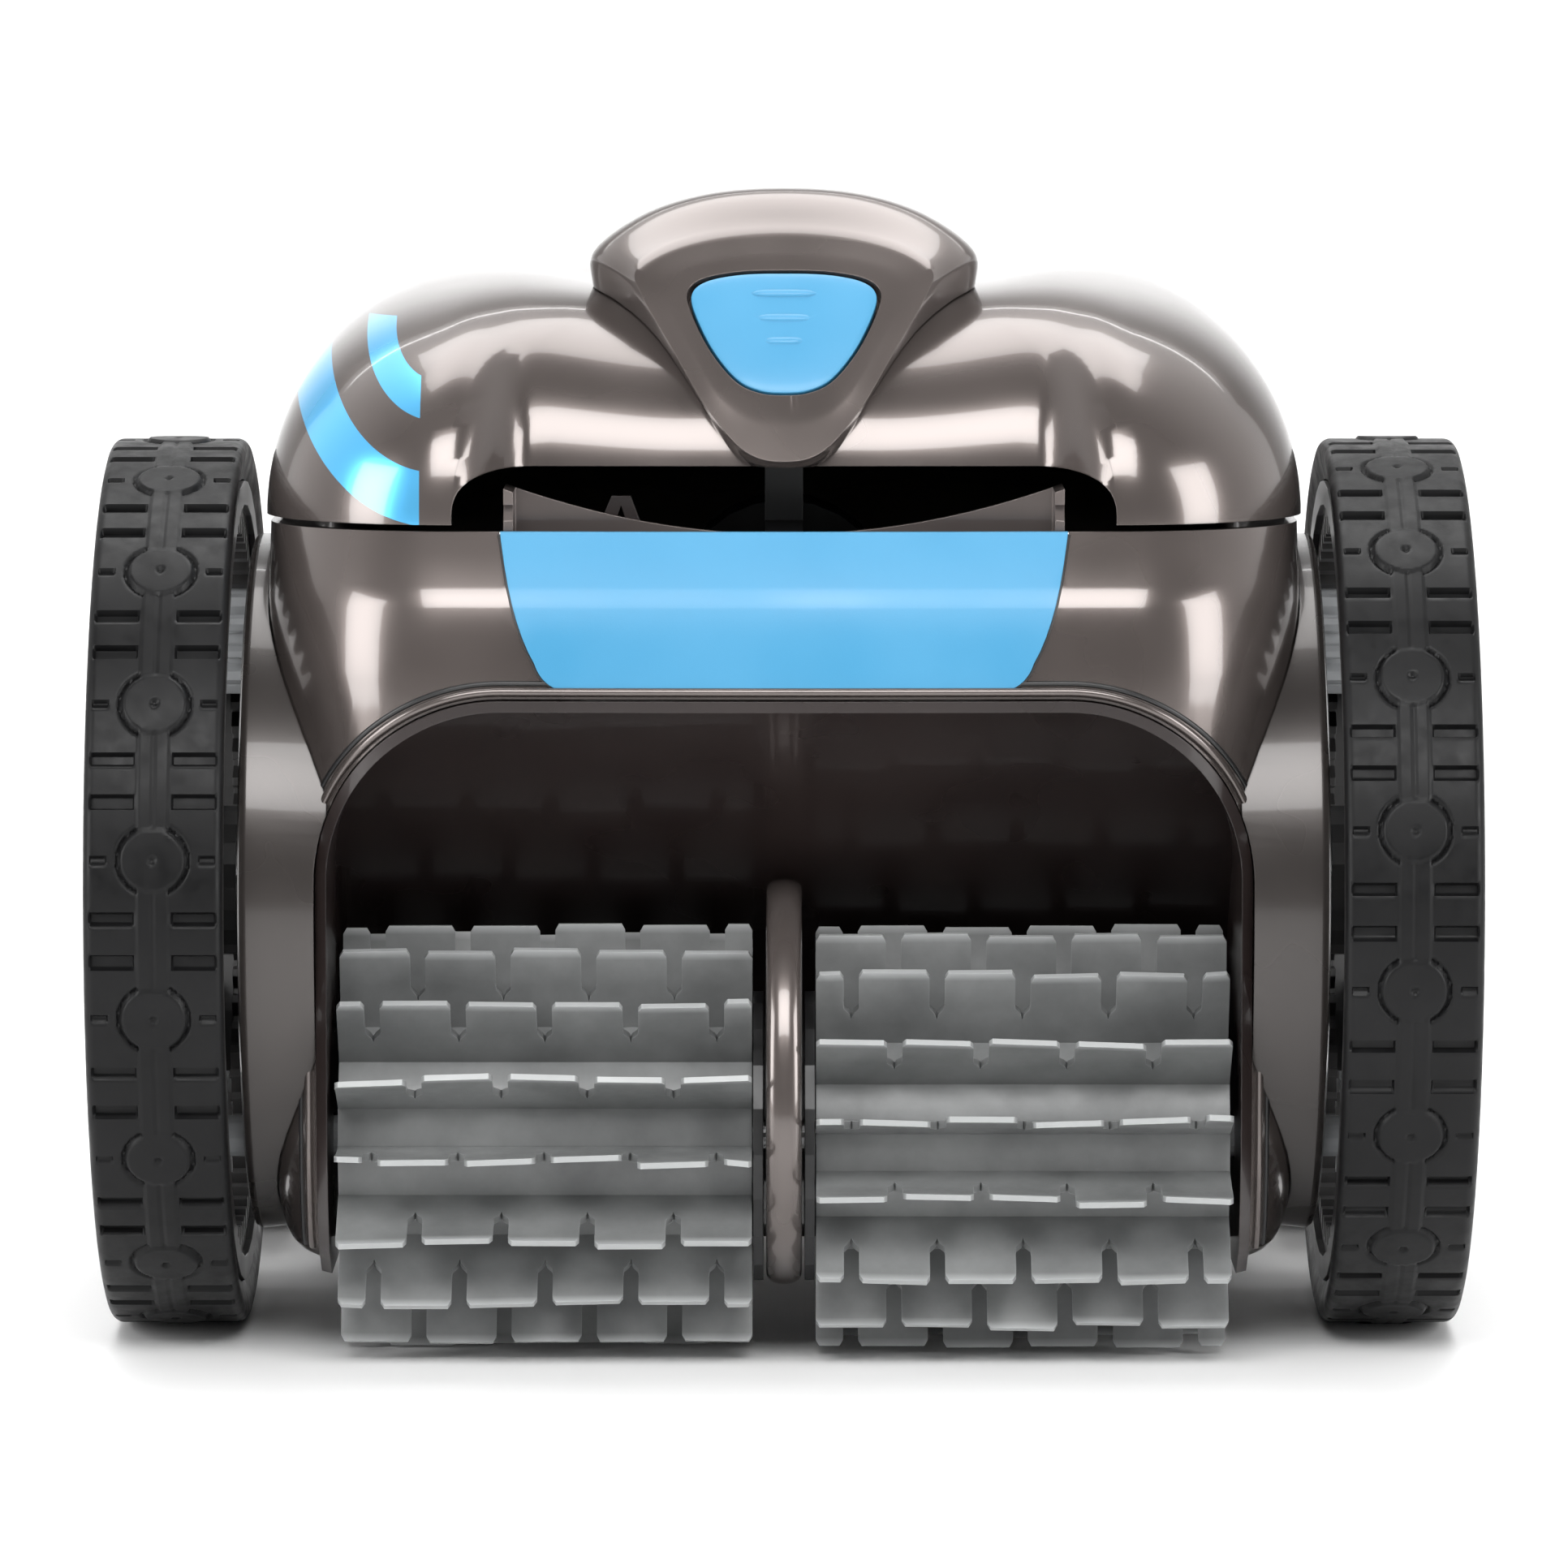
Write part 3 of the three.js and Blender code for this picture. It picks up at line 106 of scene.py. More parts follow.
def loft(name, rings, sharp=35.0, flat_ends=False):
    """A closed solid through rings of points, with a face at each end, or a fan if it isn't flat."""
    rings = np.asarray(rings, float)
    layers, count, _ = rings.shape
    verts = rings.reshape(-1, 3).tolist()
    faces = []
    for r in range(layers - 1):
        for i in range(count):
            a, b = r * count + i, r * count + (i + 1) % count
            faces.append((a, b, b + count, a + count))
    last = (layers - 1) * count
    if flat_ends:
        faces += [tuple(range(count - 1, -1, -1)), tuple(range(last, last + count))]
        return make_object(name, verts, faces, sharp)
    for start, flip in ((0, True), (last, False)):
        centre = len(verts)
        verts.append(np.mean(verts[start:start + count], axis=0).tolist())
        for i in range(count):
            a, b = start + i, start + (i + 1) % count
            faces.append((b, a, centre) if flip else (a, b, centre))
    return make_object(name, verts, faces, sharp)


def box_solid(x0, x1, y0, y1, z0, z1):
    ring = [(x0, y0), (x1, y0), (x1, y1), (x0, y1)]
    return loft("box", [[(x, y, z) for x, y in ring] for z in (z0, z1)])


def rod(axis, radius, low, high, a, b, sides=48):
    """A cylinder along "x" or "y" from low to high, through (a, b) in its other two axes."""
    rings = []
    for end in (low, high):
        ring = []
        for i in range(sides):
            t = 2 * math.pi * i / sides
            c, s = a + radius * math.cos(t), b + radius * math.sin(t)
            ring.append((end, c, s) if axis == "x" else (c, end, s))
        rings.append(ring)
    return loft("rod", rings if axis == "x" else rings[::-1])


def prism_x(points, x0, x1):
    """A Y-Z outline, anticlockwise seen from +X, carried along X."""
    return loft("prism", [[(x, y, z) for y, z in points] for x in (x0, x1)], flat_ends=True)


def prism_y(points, y0, y1):
    """An X-Z outline, anticlockwise seen from the front, carried along Y."""
    return loft("prism", [[(x, y, z) for x, z in points] for y in (y1, y0)], flat_ends=True)


def ellipsoid(y, z, rx, ry, rz, grow, steps=72):
    """An ellipsoid on the X = 0 plane."""
    rings = []
    for i in range(1, steps // 2):
        t = math.pi * i / (steps // 2)
        zz, r = -math.cos(t), math.sin(t)
        rings.append(
            [
                (
                    (rx + grow) * r * math.cos(2 * math.pi * k / steps),
                    y + (ry + grow) * r * math.sin(2 * math.pi * k / steps),
                    z + (rz + grow) * zz,
                )
                for k in range(steps)
            ]
        )
    return loft("ellipsoid", rings)


def smooth(a, b, t):
    s = min(1.0, max(0.0, (t - a) / (b - a)))
    return s * s * (3 - 2 * s)


# ---------- sizes, in millimetres, as in the CAD ----------
GAP = 0.35
WALL = 3.5
WHEEL_R, WHEEL_Y = 143.0, -82.0
WHEEL_INNER_X, WHEEL_OUTER_X = 172.0, 215.0
TYRE_THICK = 14.0
REAR_R, REAR_Y = 78.0, 145.0
REAR_INNER_X, REAR_WIDTH, REAR_TYRE_THICK = 169.0, 36.0, 10.0
BRUSH_ANGLE = math.radians(-128.66)
PINION_ANGLE = BRUSH_ANGLE + 37 * 2 * math.pi / 76
BRUSH_Y = WHEEL_Y + 96 * math.cos(BRUSH_ANGLE)
BRUSH_Z = WHEEL_R + 96 * math.sin(BRUSH_ANGLE)
PINION_Y = WHEEL_Y + 99 * math.cos(PINION_ANGLE)
PINION_Z = WHEEL_R + 99 * math.sin(PINION_ANGLE)
BRUSH_R = BRUSH_Z - 0.5
BRUSH_ROOT_R = 40.0
BRUSH_BORE_R = 37.0
BRUSH_INNER_X, BRUSH_LENGTH = 10.0, 129.0
BLADE_ROWS = 16
TAB_GAP, TABS, TAB_DEPTH = 4.8, 5, 15.0
BODY_HALF, BODY_BOTTOM = 162.0, 30.0
SEAM_LOW, SEAM_TOP, SEAM_DROP, SEAM_GAP = 118.0, 264.0, 28.0, 2.0
BODY_FRONT, BODY_BACK = -196.0, 204.0
LID_HALF, LID_TOP, LID_THICK = 163.5, 339.0, 3.0
APRON_HALF, APRON_BACK = 84.0, 24.0
ARCH_HALF, ARCH_TOP, ARCH_CORNER = 145.5, 211.0, 58.0
HOOD_WALL, HOOD_R, HOOD_TOP_Y = 3.5, 74.0, -188.0
PANEL_TOP_HALF, PANEL_BOTTOM_HALF, PANEL_BOTTOM = 90.0, 74.0, 213.5
MOUTH_BACK = -120.0
HINGE_R, HINGE_X, HINGE_PIN_R = 7.0, 88.0, 2.6
HINGE_Y, HINGE_Z = BODY_BACK + 14, SEAM_TOP - SEAM_DROP - 3
PLATE_TILT = math.radians(34)
BUTTON_Y, BUTTON_Z = -147.0, 322.5
POCKET = (-60.0, 347.0, 56.0, 44.0, 40.0)
GRIP_SPACE = (-76.0, 328.0, 49.0, 37.0, 21.0)


# ---------- casing forms ----------
def plan_ring(half, front, back, corner_front, corner_back, crown, corner=16, sides=(18, 26, 34)):
    points = []

    def arc(cx, cy, radius, start):
        for i in range(corner + 1):
            t = start + i / corner * math.pi / 2
            points.append((cx + radius * math.cos(t), cy + radius * math.sin(t)))

    def between(a, b, count):
        for i in range(1, count):
            points.append((a[0] + (b[0] - a[0]) * i / count, a[1] + (b[1] - a[1]) * i / count))

    side, rear, fore = sides
    arc(half - corner_front, front + corner_front, corner_front, -math.pi / 2)
    between((half, front + corner_front), (half, back - corner_back), side)
    arc(half - corner_back, back - corner_back, corner_back, 0)
    between((half - corner_back, back), (corner_back - half, back), rear)
    arc(corner_back - half, back - corner_back, corner_back, math.pi / 2)
    between((-half, back - corner_back), (-half, front + corner_front), side)
    arc(corner_front - half, front + corner_front, corner_front, math.pi)
    between((corner_front - half, front), (half - corner_front, front), fore)
    middle = (front + back) / 2
    return [
        (x, y + math.copysign(crown * (1 - (x / half) ** 2), y - middle) if y != middle else y)
        for x, y in points
    ]


# height, and how far in at the front, back and sides
BODY_LEVELS = [
    (BODY_BOTTOM, 16, 20, 12), (32, 12.6, 15.8, 8.6), (35, 9.8, 12.3, 6), (39, 7.6, 9.8, 4.2),
    (44, 6, 8, 3), (50, 4.2, 6.2, 1.9), (57, 2.4, 4.4, 0.9), (64, 1, 3, 0.2), (74, 0.3, 1.6, 0),
    (90, 0, 0.6, 0), (SEAM_LOW, 0, 0, 0), (170, 0, 0, 0), (ARCH_TOP + 6, 0, 0, 0),
    (230, 1.1, 0.3, 0), (239, 3, 0.8, 0), (242, 4, 1, 0), (246, 6, 1.3, 0), (256, 12.2, 2.4, 0),
    (SEAM_TOP + 6, 21, 4, 0),
]


def body_form(grow):
    rings = []
    for i, (z, front, back, side) in enumerate(BODY_LEVELS):
        ring = plan_ring(
            BODY_HALF - side + grow, BODY_FRONT + front - grow, BODY_BACK - back + grow, 56, 48, 6
        )
        height = z - grow if i == 0 else z
        rings.append([(x, y, height) for x, y in ring])
    return loft("body", rings)


def seam_z(y):
    return SEAM_TOP - SEAM_DROP * smooth(10, BODY_BACK, y)


def above_seam(rise):
    points = [(-260, SEAM_TOP + rise)]
    points += [(y, seam_z(y) + rise) for y in np.linspace(0, BODY_BACK + 20, 40)]
    points += [(260, seam_z(BODY_BACK + 20) + rise), (260, 500), (-260, 500)]
    return prism_x(points, -200, 200)


def lid_top(y):
    return LID_TOP - 44 * smooth(10, BODY_BACK + 20, y)


def lid_point(x, y, lift, share, drop):
    middle = 1 - smooth(APRON_HALF - 6, APRON_HALF + 20, abs(x))
    frontness = 1 - smooth(-110, -20, y)
    valley = 7 * (1 - smooth(30, 92, abs(x))) * (1 - smooth(-70, 40, y))
    low = seam_z(y) - 10
    z = low + (lid_top(y) + drop - low) * lift - valley * share
    return (x, y + APRON_BACK * middle * frontness * (1 - 0.45 * share), z)


def lid_form(grow, steps=44):
    rings = []
    half = LID_HALF + grow
    for k in range(steps + 1):
        degrees = 90 * k / steps
        angle = math.radians(degrees)
        inset = 1 - math.cos(angle)
        base = 10 / (LID_TOP - SEAM_TOP + 10)
        lift = 0 if k == 0 else base + (1 - base) * math.sin(angle)
        ring = plan_ring(
            half - 66 * inset,
            BODY_FRONT + 16 - grow + 85 * inset,
            BODY_BACK + 1 + grow - 120 * inset,
            60 + 10 * inset,
            52 + 18 * inset,
            6,
            sides=(20, 26, 60),
        )
        rings.append([lid_point(x, y, lift, math.sin(angle), grow) for x, y in ring])
    last = plan_ring(
        half - 66, BODY_FRONT + 101 - grow, BODY_BACK - 119 + grow, 70, 70, 6, sides=(20, 26, 60)
    )
    centre = 0.5 * (BODY_FRONT + BODY_BACK - 18)
    for share in np.linspace(0.94, 0.04, 16):
        ring = []
        for x, y in last:
            px, py, pz = lid_point(x * share, centre + (y - centre) * share, 1, 1, grow)
            ring.append((px, py, pz + 3 * (1 - share)))
        rings.append(ring)
    return loft("lid_form", rings)


def arch_points(grow, steps=24):
    half, top, r = ARCH_HALF + grow, ARCH_TOP + grow, ARCH_CORNER + grow
    points = [(-half, -40), (half, -40)]
    for i in range(steps + 1):
        t = i / steps * math.pi / 2
        points.append((half - r + r * math.cos(t), top - r + r * math.sin(t)))
    for i in range(steps + 1):
        t = math.pi / 2 + i / steps * math.pi / 2
        points.append((r - half + r * math.cos(t), top - r + r * math.sin(t)))
    return points


def hood_points(grow, steps=40):
    radius = HOOD_R + grow
    top = (HOOD_TOP_Y, ARCH_TOP - HOOD_WALL)
    dy, dz = top[0] - BRUSH_Y, top[1] - BRUSH_Z
    tangent = math.atan2(dz, dy) - math.acos(HOOD_R / math.hypot(dy, dz))
    lowest = math.radians(-42)
    points = [(-300, 400), (top[0] + grow * 0.7, 400), (top[0] + grow * 0.7, top[1] + grow * 0.7)]
    for i in range(steps + 1):
        t = tangent + (lowest - tangent) * i / steps
        points.append((BRUSH_Y + radius * math.cos(t), BRUSH_Z + radius * math.sin(t)))
    points += [(points[-1][0], -40), (-300, -40)]
    return points[::-1]


def arch_block(grow):
    return prism_y(arch_points(grow), -300, 0)


def hood_block(grow):
    return prism_x(hood_points(grow), -200, 200)


def arch_cut():
    return combine(arch_block(GAP), hood_block(HOOD_WALL + GAP), "INTERSECT")


def quadratic(a, b, c, steps=10):
    out = []
    for i in range(1, steps + 1):
        t = i / steps
        out.append(
            tuple(a[k] * (1 - t) ** 2 + 2 * b[k] * t * (1 - t) + c[k] * t * t for k in (0, 1))
        )
    return out


def panel_points(grow):
    top, low, base = PANEL_TOP_HALF + grow, PANEL_BOTTOM_HALF + grow, PANEL_BOTTOM - grow
    right = [(low - 10, base)]
    right += quadratic((low - 10, base), (low, base), (low + 3, base + 9))
    right += quadratic((low + 3, base + 9), (top - 3, base + 26), (top, SEAM_TOP + 20))
    return right + [(-x, z) for x, z in right[::-1]]


def mouth_points():
    half, top, radius = 103.0, 281.0, 14.0
    right = [(half, 200), (half, top - radius)]
    right += quadratic((half, top - radius), (half, top), (half - 1.6 * radius, top))
    return right + [(-x, z) for x, z in right[::-1]]


def side_bores(obj):
    for sign in (-1, 1):
        for radius, y, z in (
            (7.7, BRUSH_Y, BRUSH_Z),
            (6.0, PINION_Y, PINION_Z),
            (9.35, WHEEL_Y, WHEEL_R),
            (7.35, REAR_Y, REAR_R),
        ):
            low, high = sorted((sign * 100, sign * 200))
            cut(obj, rod("x", radius, low, high, y, z))
    return obj


# ---------- handle and latch forms ----------
BUTTON_EDGE = [(0, 303), (8, 303.8), (15.5, 307.5), (23.5, 317), (29.5, 329), (30, 335), (25, 338.6),
               (14, 340.6), (0, 341)]
BEVEL_EDGE = [(0, 297), (10, 298), (19.5, 303.5), (28, 315.5), (35.5, 331), (35.5, 337.5), (29, 341.6),
              (16, 343.8), (0, 344.4)]
CREASE = [(0, 283), (12, 286), (24, 299), (35, 317), (44.5, 333), (46.5, 341), (37, 347.5), (21, 351.6),
          (0, 353)]
SILHOUETTE = [(0, 279.5, -163), (14.5, 283.5, -160), (27.5, 300.5, -146), (40, 319.5, -134),
              (51.5, 335, -122), (60.5, 345, -112), (46, 357, -108), (25, 364, -107), (0, 366, -107)]
BACK_EDGE = [(0, 276, -120), (14, 278, -120), (26, 288, -116), (40, 304, -108), (55, 316, -96),
             (60, 334, -88), (46, 349, -84), (25, 356.5, -82), (0, 358.5, -82)]
PRESS = (math.cos(PLATE_TILT), -math.sin(PLATE_TILT))


def catmull(points, steps, closed):
    pts = [np.asarray(p, float) for p in points]
    n = len(pts)
    out = []
    spans = n if closed else n - 1
    for i in range(spans):
        p1, p2 = pts[i], pts[(i + 1) % n]
        p0 = pts[i - 1] if closed or i > 0 else 2 * p1 - p2
        p3 = pts[(i + 2) % n] if closed or i + 2 < n else 2 * p2 - p1
        for k in range(steps):
            t = k / steps
            out.append(
                0.5 * (2 * p1 + (p2 - p0) * t + (2 * p0 - 5 * p1 + 4 * p2 - p3) * t * t
                       + (3 * p1 - p0 - 3 * p2 + p3) * t ** 3)
            )
    if not closed:
        out.append(pts[-1])
    return np.array(out)


def shield_ring(right_half, steps=10):
    """The closed loop, seen from the front, through the (x, z, y) points of its right half."""
    right = [(x, y, z) for x, z, y in right_half]
    left = [(-x, y, z) for x, y, z in right[1:-1][::-1]]
    return catmull(right + left, steps, True)


def plate_y(z):
    return BUTTON_Y + (z - BUTTON_Z) * math.tan(PLATE_TILT)


def on_plate(points, back):
    return [(x, z, plate_y(z) + back) for x, z in points]


def shield():
    outer = [shield_ring(BACK_EDGE), shield_ring(SILHOUETTE), shield_ring(on_plate(CREASE, 1.5))]
    stack = catmull([r.ravel() for r in outer], 10, False).reshape(-1, len(outer[0]), 3)
    bevel = shield_ring(on_plate(BEVEL_EDGE, 0))
    middle = [stack[-1] * (1 - t) + bevel * t for t in (0.25, 0.5, 0.75)]
    return loft("handle", list(stack) + middle + [bevel], 50)


def button_prism(scale, front, back, crown=0.0):
    ring = shield_ring(on_plate(BUTTON_EDGE, 0))

    def at(distance, share):
        out = ring.copy()
        out[:, 0] = ring[:, 0] * share
        out[:, 1] = BUTTON_Y + (ring[:, 1] - BUTTON_Y) * share + PRESS[0] * distance
        out[:, 2] = BUTTON_Z + (ring[:, 2] - BUTTON_Z) * share + PRESS[1] * distance
        return out

    rings = [at(back, scale), at(front, scale)]
    if crown:
        for t in np.linspace(0.1, 1, 12):
            bulge = crown * math.sin(t * math.pi / 2)
            rings.append(at(front - bulge, scale * (1 - 0.04 * t - 0.94 * max(0.0, t - 0.1) ** 1.6)))
    return loft("button", rings, 50)


# ---------- materials ----------
class Nodes:
    """A material's node tree with short ways to add the usual nodes."""

    def __init__(self, name):
        self.material = bpy.data.materials.new(name)
        self.material.use_nodes = True
        self.tree = self.material.node_tree
        self.shader = self.tree.nodes["Principled BSDF"]
        self.coords = self.tree.nodes.new("ShaderNodeTexCoord").outputs["Object"]

    def link(self, a, b):
        self.tree.links.new(a, b)

    def noise(self, scale, detail=4.0, rough=0.6, stretch=(1, 1, 1)):
        mapping = self.tree.nodes.new("ShaderNodeMapping")
        mapping.inputs["Scale"].default_value = stretch
        self.link(self.coords, mapping.inputs["Vector"])
        node = self.tree.nodes.new("ShaderNodeTexNoise")
        node.inputs["Scale"].default_value = scale
        node.inputs["Detail"].default_value = detail
        node.inputs["Roughness"].default_value = rough
        self.link(mapping.outputs["Vector"], node.inputs["Vector"])
        return node.outputs["Fac"]

    def ramp(self, value, stops):
        node = self.tree.nodes.new("ShaderNodeValToRGB")
        elements = node.color_ramp.elements
        while len(elements) < len(stops):
            elements.new(0.5)
        for element, (at, color) in zip(elements, stops):
            element.position = at
            element.color = (*color, 1)
        self.link(value, node.inputs["Fac"])
        return node.outputs["Color"]

    def spread(self, value, low, high, start=0.3, end=0.7):
        node = self.tree.nodes.new("ShaderNodeMapRange")
        node.inputs["From Min"].default_value = start
        node.inputs["From Max"].default_value = end
        node.inputs["To Min"].default_value = low
        node.inputs["To Max"].default_value = high
        self.link(value, node.inputs["Value"])
        return node.outputs["Result"]

    def bump(self, value, strength, distance, below=None):
        node = self.tree.nodes.new("ShaderNodeBump")
        node.inputs["Strength"].default_value = strength
        node.inputs["Distance"].default_value = distance
        self.link(value, node.inputs["Height"])
        if below:
            self.link(below, node.inputs["Normal"])
        return node.outputs["Normal"]

    def rounded(self, radius):
        node = self.tree.nodes.new("ShaderNodeBevel")
        node.samples = 4
        node.inputs["Radius"].default_value = radius
        return node.outputs["Normal"]

    def math(self, how, a, b):
        node = self.tree.nodes.new("ShaderNodeMath")
        node.operation = how
        for socket, value in zip(node.inputs, (a, b)):
            if isinstance(value, (int, float)):
                socket.default_value = value
            else:
                self.link(value, socket)
        return node.outputs[0]

    def mix(self, factor, a, b):
        node = self.tree.nodes.new("ShaderNodeMix")
        node.data_type = "RGBA"
        sockets = [node.inputs["Factor"], node.inputs[6], node.inputs[7]]
        for socket, value in zip(sockets, (factor, a, b)):
            if isinstance(value, tuple):
                socket.default_value = (*value, 1)
            elif isinstance(value, (int, float)):
                socket.default_value = value
            else:
                self.link(value, socket)
        return node.outputs[2]


def moulded(name, dark, light, rough=(0.25, 0.35), metallic=0.0, coat=0.0, grain=900.0,
            grain_depth=0.00004, edge=0.0005, extra=None):
    """Moulded plastic: soft colour drift, fine grain, and a gloss that wear breaks up."""
    n = Nodes(name)
    drift = n.noise(9, 3)
    color = n.ramp(drift, [(0.3, dark), (0.7, light)])
    if extra:
        color = extra(n, color)
    n.link(color, n.shader.inputs["Base Color"])
    n.link(n.spread(n.noise(18, 2), *rough), n.shader.inputs["Roughness"])
    n.shader.inputs["Metallic"].default_value = metallic
    n.shader.inputs["Coat Weight"].default_value = coat
    n.shader.inputs["Coat Roughness"].default_value = 0.06
    below = n.rounded(edge) if edge else None
    n.link(n.bump(n.noise(grain, 2), 0.35, grain_depth, below), n.shader.inputs["Normal"])
    return n.material


def dome_stripes(n, color):
    """Plain blue bands on the lid's left dome: an outer band and a short inner one."""
    split = n.tree.nodes.new("ShaderNodeSeparateXYZ")
    n.link(n.coords, split.inputs[0])
    x, z = split.outputs["X"], split.outputs["Z"]

    def inside(value, low, high):
        above = n.math("GREATER_THAN", value, low)
        return n.math("MULTIPLY", above, n.math("LESS_THAN", value, high))

    def elliptic(cx, cz, rx, rz):
        dx = n.math("DIVIDE", n.math("SUBTRACT", x, cx), rx)
        dz = n.math("DIVIDE", n.math("SUBTRACT", z, cz), rz)
        return n.math("SQRT", n.math("ADD", n.math("MULTIPLY", dx, dx), n.math("MULTIPLY", dz, dz)), 0)

    left = inside(x, -0.1605, -0.113)
    big = inside(elliptic(-0.108, 0.326, 0.046, 0.058), 0.79, 1.08)
    small = inside(elliptic(-0.108, 0.326, 0.046, 0.058), 0.31, 0.52)
    lower = n.math("LESS_THAN", z, 0.326)
    either = n.math("MAXIMUM", big, small)
    mask = n.math("MULTIPLY", n.math("MULTIPLY", either, left), lower)
    split_y = n.math("LESS_THAN", split.outputs["Y"], -0.02)
    return n.mix(n.math("MULTIPLY", mask, split_y), color, (0.1, 0.48, 0.84))


TAUPE_DARK, TAUPE_LIGHT = (0.1, 0.084, 0.078), (0.135, 0.114, 0.107)
SHELL = moulded("shell", TAUPE_DARK, TAUPE_LIGHT, (0.19, 0.27), 0.62, 0.7, 1400, 0.000006)
LID_SHELL = moulded("lid_shell", TAUPE_DARK, TAUPE_LIGHT, (0.19, 0.27), 0.62, 0.7, 1400, 0.000006,
                    extra=dome_stripes)
HOOD = moulded("hood", (0.014, 0.0095, 0.009), (0.022, 0.015, 0.014), (0.24, 0.36), 0.1, 0.3, 1500)
# Painted light: the duct's taupe is a lighter copy of the shell's, so the shaded inside of the mouth shows lit.
DUCT_LIT_TAUPE = moulded("duct", (0.12, 0.1, 0.095), (0.17, 0.145, 0.135), (0.14, 0.22), 0.5, 0.7, 2200)
BLUE = moulded("blue", (0.04, 0.22, 0.39), (0.053, 0.25, 0.43), (0.35, 0.5), 0, 0.1, 1800)
RIM = moulded("rim", (0.02, 0.019, 0.019), (0.035, 0.034, 0.034), (0.3, 0.45), 0, 0.1, 1200)
COVER = moulded("cover", (0.036, 0.031, 0.029), (0.052, 0.045, 0.042), (0.24, 0.32), 0.45, 0.4, 2200)
BLACK = moulded("black", (0.007, 0.007, 0.007), (0.014, 0.014, 0.015), (0.32, 0.5), 0, 0.1, 1200)
PALE = moulded("pale", (0.27, 0.28, 0.29), (0.36, 0.37, 0.38), (0.35, 0.5), 0, 0.1, 1400)
STEEL = moulded("steel", (0.5, 0.5, 0.51), (0.62, 0.62, 0.63), (0.2, 0.34), 1.0, 0, 3000, 0.00001)


def tyre_rubber():
    n = Nodes("tyre")
    color = n.ramp(n.noise(24, 5), [(0.3, (0.0025, 0.0025, 0.0027)), (0.75, (0.006, 0.006, 0.0064))])
    n.link(color, n.shader.inputs["Base Color"])
    n.link(n.spread(n.noise(130, 6), 0.34, 0.56), n.shader.inputs["Roughness"])
    n.shader.inputs["Specular IOR Level"].default_value = 0.2
    fine = n.bump(n.noise(1500, 3), 0.35, 0.00006)
    n.link(n.bump(n.noise(60, 3), 0.2, 0.0003, fine), n.shader.inputs["Normal"])
    return n.material


def blade_rubber():
    """Translucent grey rubber, paler along the blade tips and darker at the roots; the pale tips are a painted
    highlight of the blades' lit edges.
    """
    n = Nodes("blade")
    tip = n.tree.nodes.new("ShaderNodeAttribute")
    tip.attribute_name = "tip"
    cloud = n.ramp(n.noise(30, 5), [(0.3, (0.12, 0.124, 0.124)), (0.7, (0.2, 0.205, 0.205))])
    # Painted highlight: over the last tenth of each blade, towards its tip, the colour is mixed towards pale grey.
    color = n.mix(n.spread(tip.outputs["Fac"], 0.0, 0.8, 0.9, 1.0), cloud, (0.36, 0.37, 0.37))
    n.link(color, n.shader.inputs["Base Color"])
    n.link(n.spread(n.noise(90, 4), 0.3, 0.46), n.shader.inputs["Roughness"])
    n.shader.inputs["Subsurface Weight"].default_value = 0.35
    n.shader.inputs["Subsurface Radius"].default_value = (1.0, 1.0, 1.0)
    n.shader.inputs["Subsurface Scale"].default_value = 0.004
    fine = n.bump(n.noise(1100, 3), 0.3, 0.00006)
    n.link(n.bump(n.noise(45, 3), 0.25, 0.0006, fine), n.shader.inputs["Normal"])
    return n.material


def woven():
    n = Nodes("mesh")
    waves = []
    for direction in ("X", "Z"):
        wave = n.tree.nodes.new("ShaderNodeTexWave")
        wave.bands_direction = direction
        wave.inputs["Scale"].default_value = 320
        n.link(n.coords, wave.inputs["Vector"])
        waves.append(wave.outputs["Fac"])
    weave = n.math("MULTIPLY", waves[0], waves[1])
    n.link(n.ramp(weave, [(0.1, (0.12, 0.13, 0.14)), (0.8, (0.4, 0.43, 0.45))]), n.shader.inputs["Base Color"])
    n.shader.inputs["Roughness"].default_value = 0.7
    n.link(n.bump(weave, 0.5, 0.0003), n.shader.inputs["Normal"])
    return n.material


TYRE = tyre_rubber()
BLADE = blade_rubber()
MESH = woven()


def paint(obj, material):
    obj.data.materials.clear()
    obj.data.materials.append(material)


def finish_piece(obj, name, body, nodes, material, sharp=35.0):
    """Takes a piece made in millimetres into metres and puts it on its body."""
    obj.data.transform(Matrix.Scale(MM, 4))
    obj.data.update()
    smooth_by_angle(obj, sharp)
    obj.name = name
    paint(obj, material)
    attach(obj, body)
    if nodes:
        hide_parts(*nodes)
    return obj


# ---------- lid, handle and button ----------
BUTTON_THICK, ROD_START_Z, ROD_END = 4.0, 318.0, 25.0
POCKET_DEPTH = BUTTON_THICK + 3.6


def along_press(radius, start, end, sides=32):
    rings = []
    for distance in (start, end):
        ring = []
        for i in range(sides):
            t = 2 * math.pi * i / sides
            across, up = radius * math.cos(t), radius * math.sin(t)
            ring.append(
                (
                    across,
                    plate_y(ROD_START_Z) + PRESS[0] * distance - PRESS[1] * up,
                    ROD_START_Z + PRESS[1] * distance + PRESS[0] * up,
                )
            )
        rings.append(ring)
    return loft("push_rod", rings)


def mouth_block():
    return prism_y(mouth_points(), -300, MOUTH_BACK)


def lid_knuckle(x):
    knuckle = rod("x", HINGE_R, x - 2.4, x + 2.4, HINGE_Y, HINGE_Z)
    arm = box_solid(x - 2.4, x + 2.4, HINGE_Y - 16, HINGE_Y, HINGE_Z + 4.5, HINGE_Z + HINGE_R)
    combine(knuckle, arm, "UNION")
    return cut(knuckle, rod("x", HINGE_PIN_R + 0.5, x - 9, x + 9, HINGE_Y, HINGE_Z))


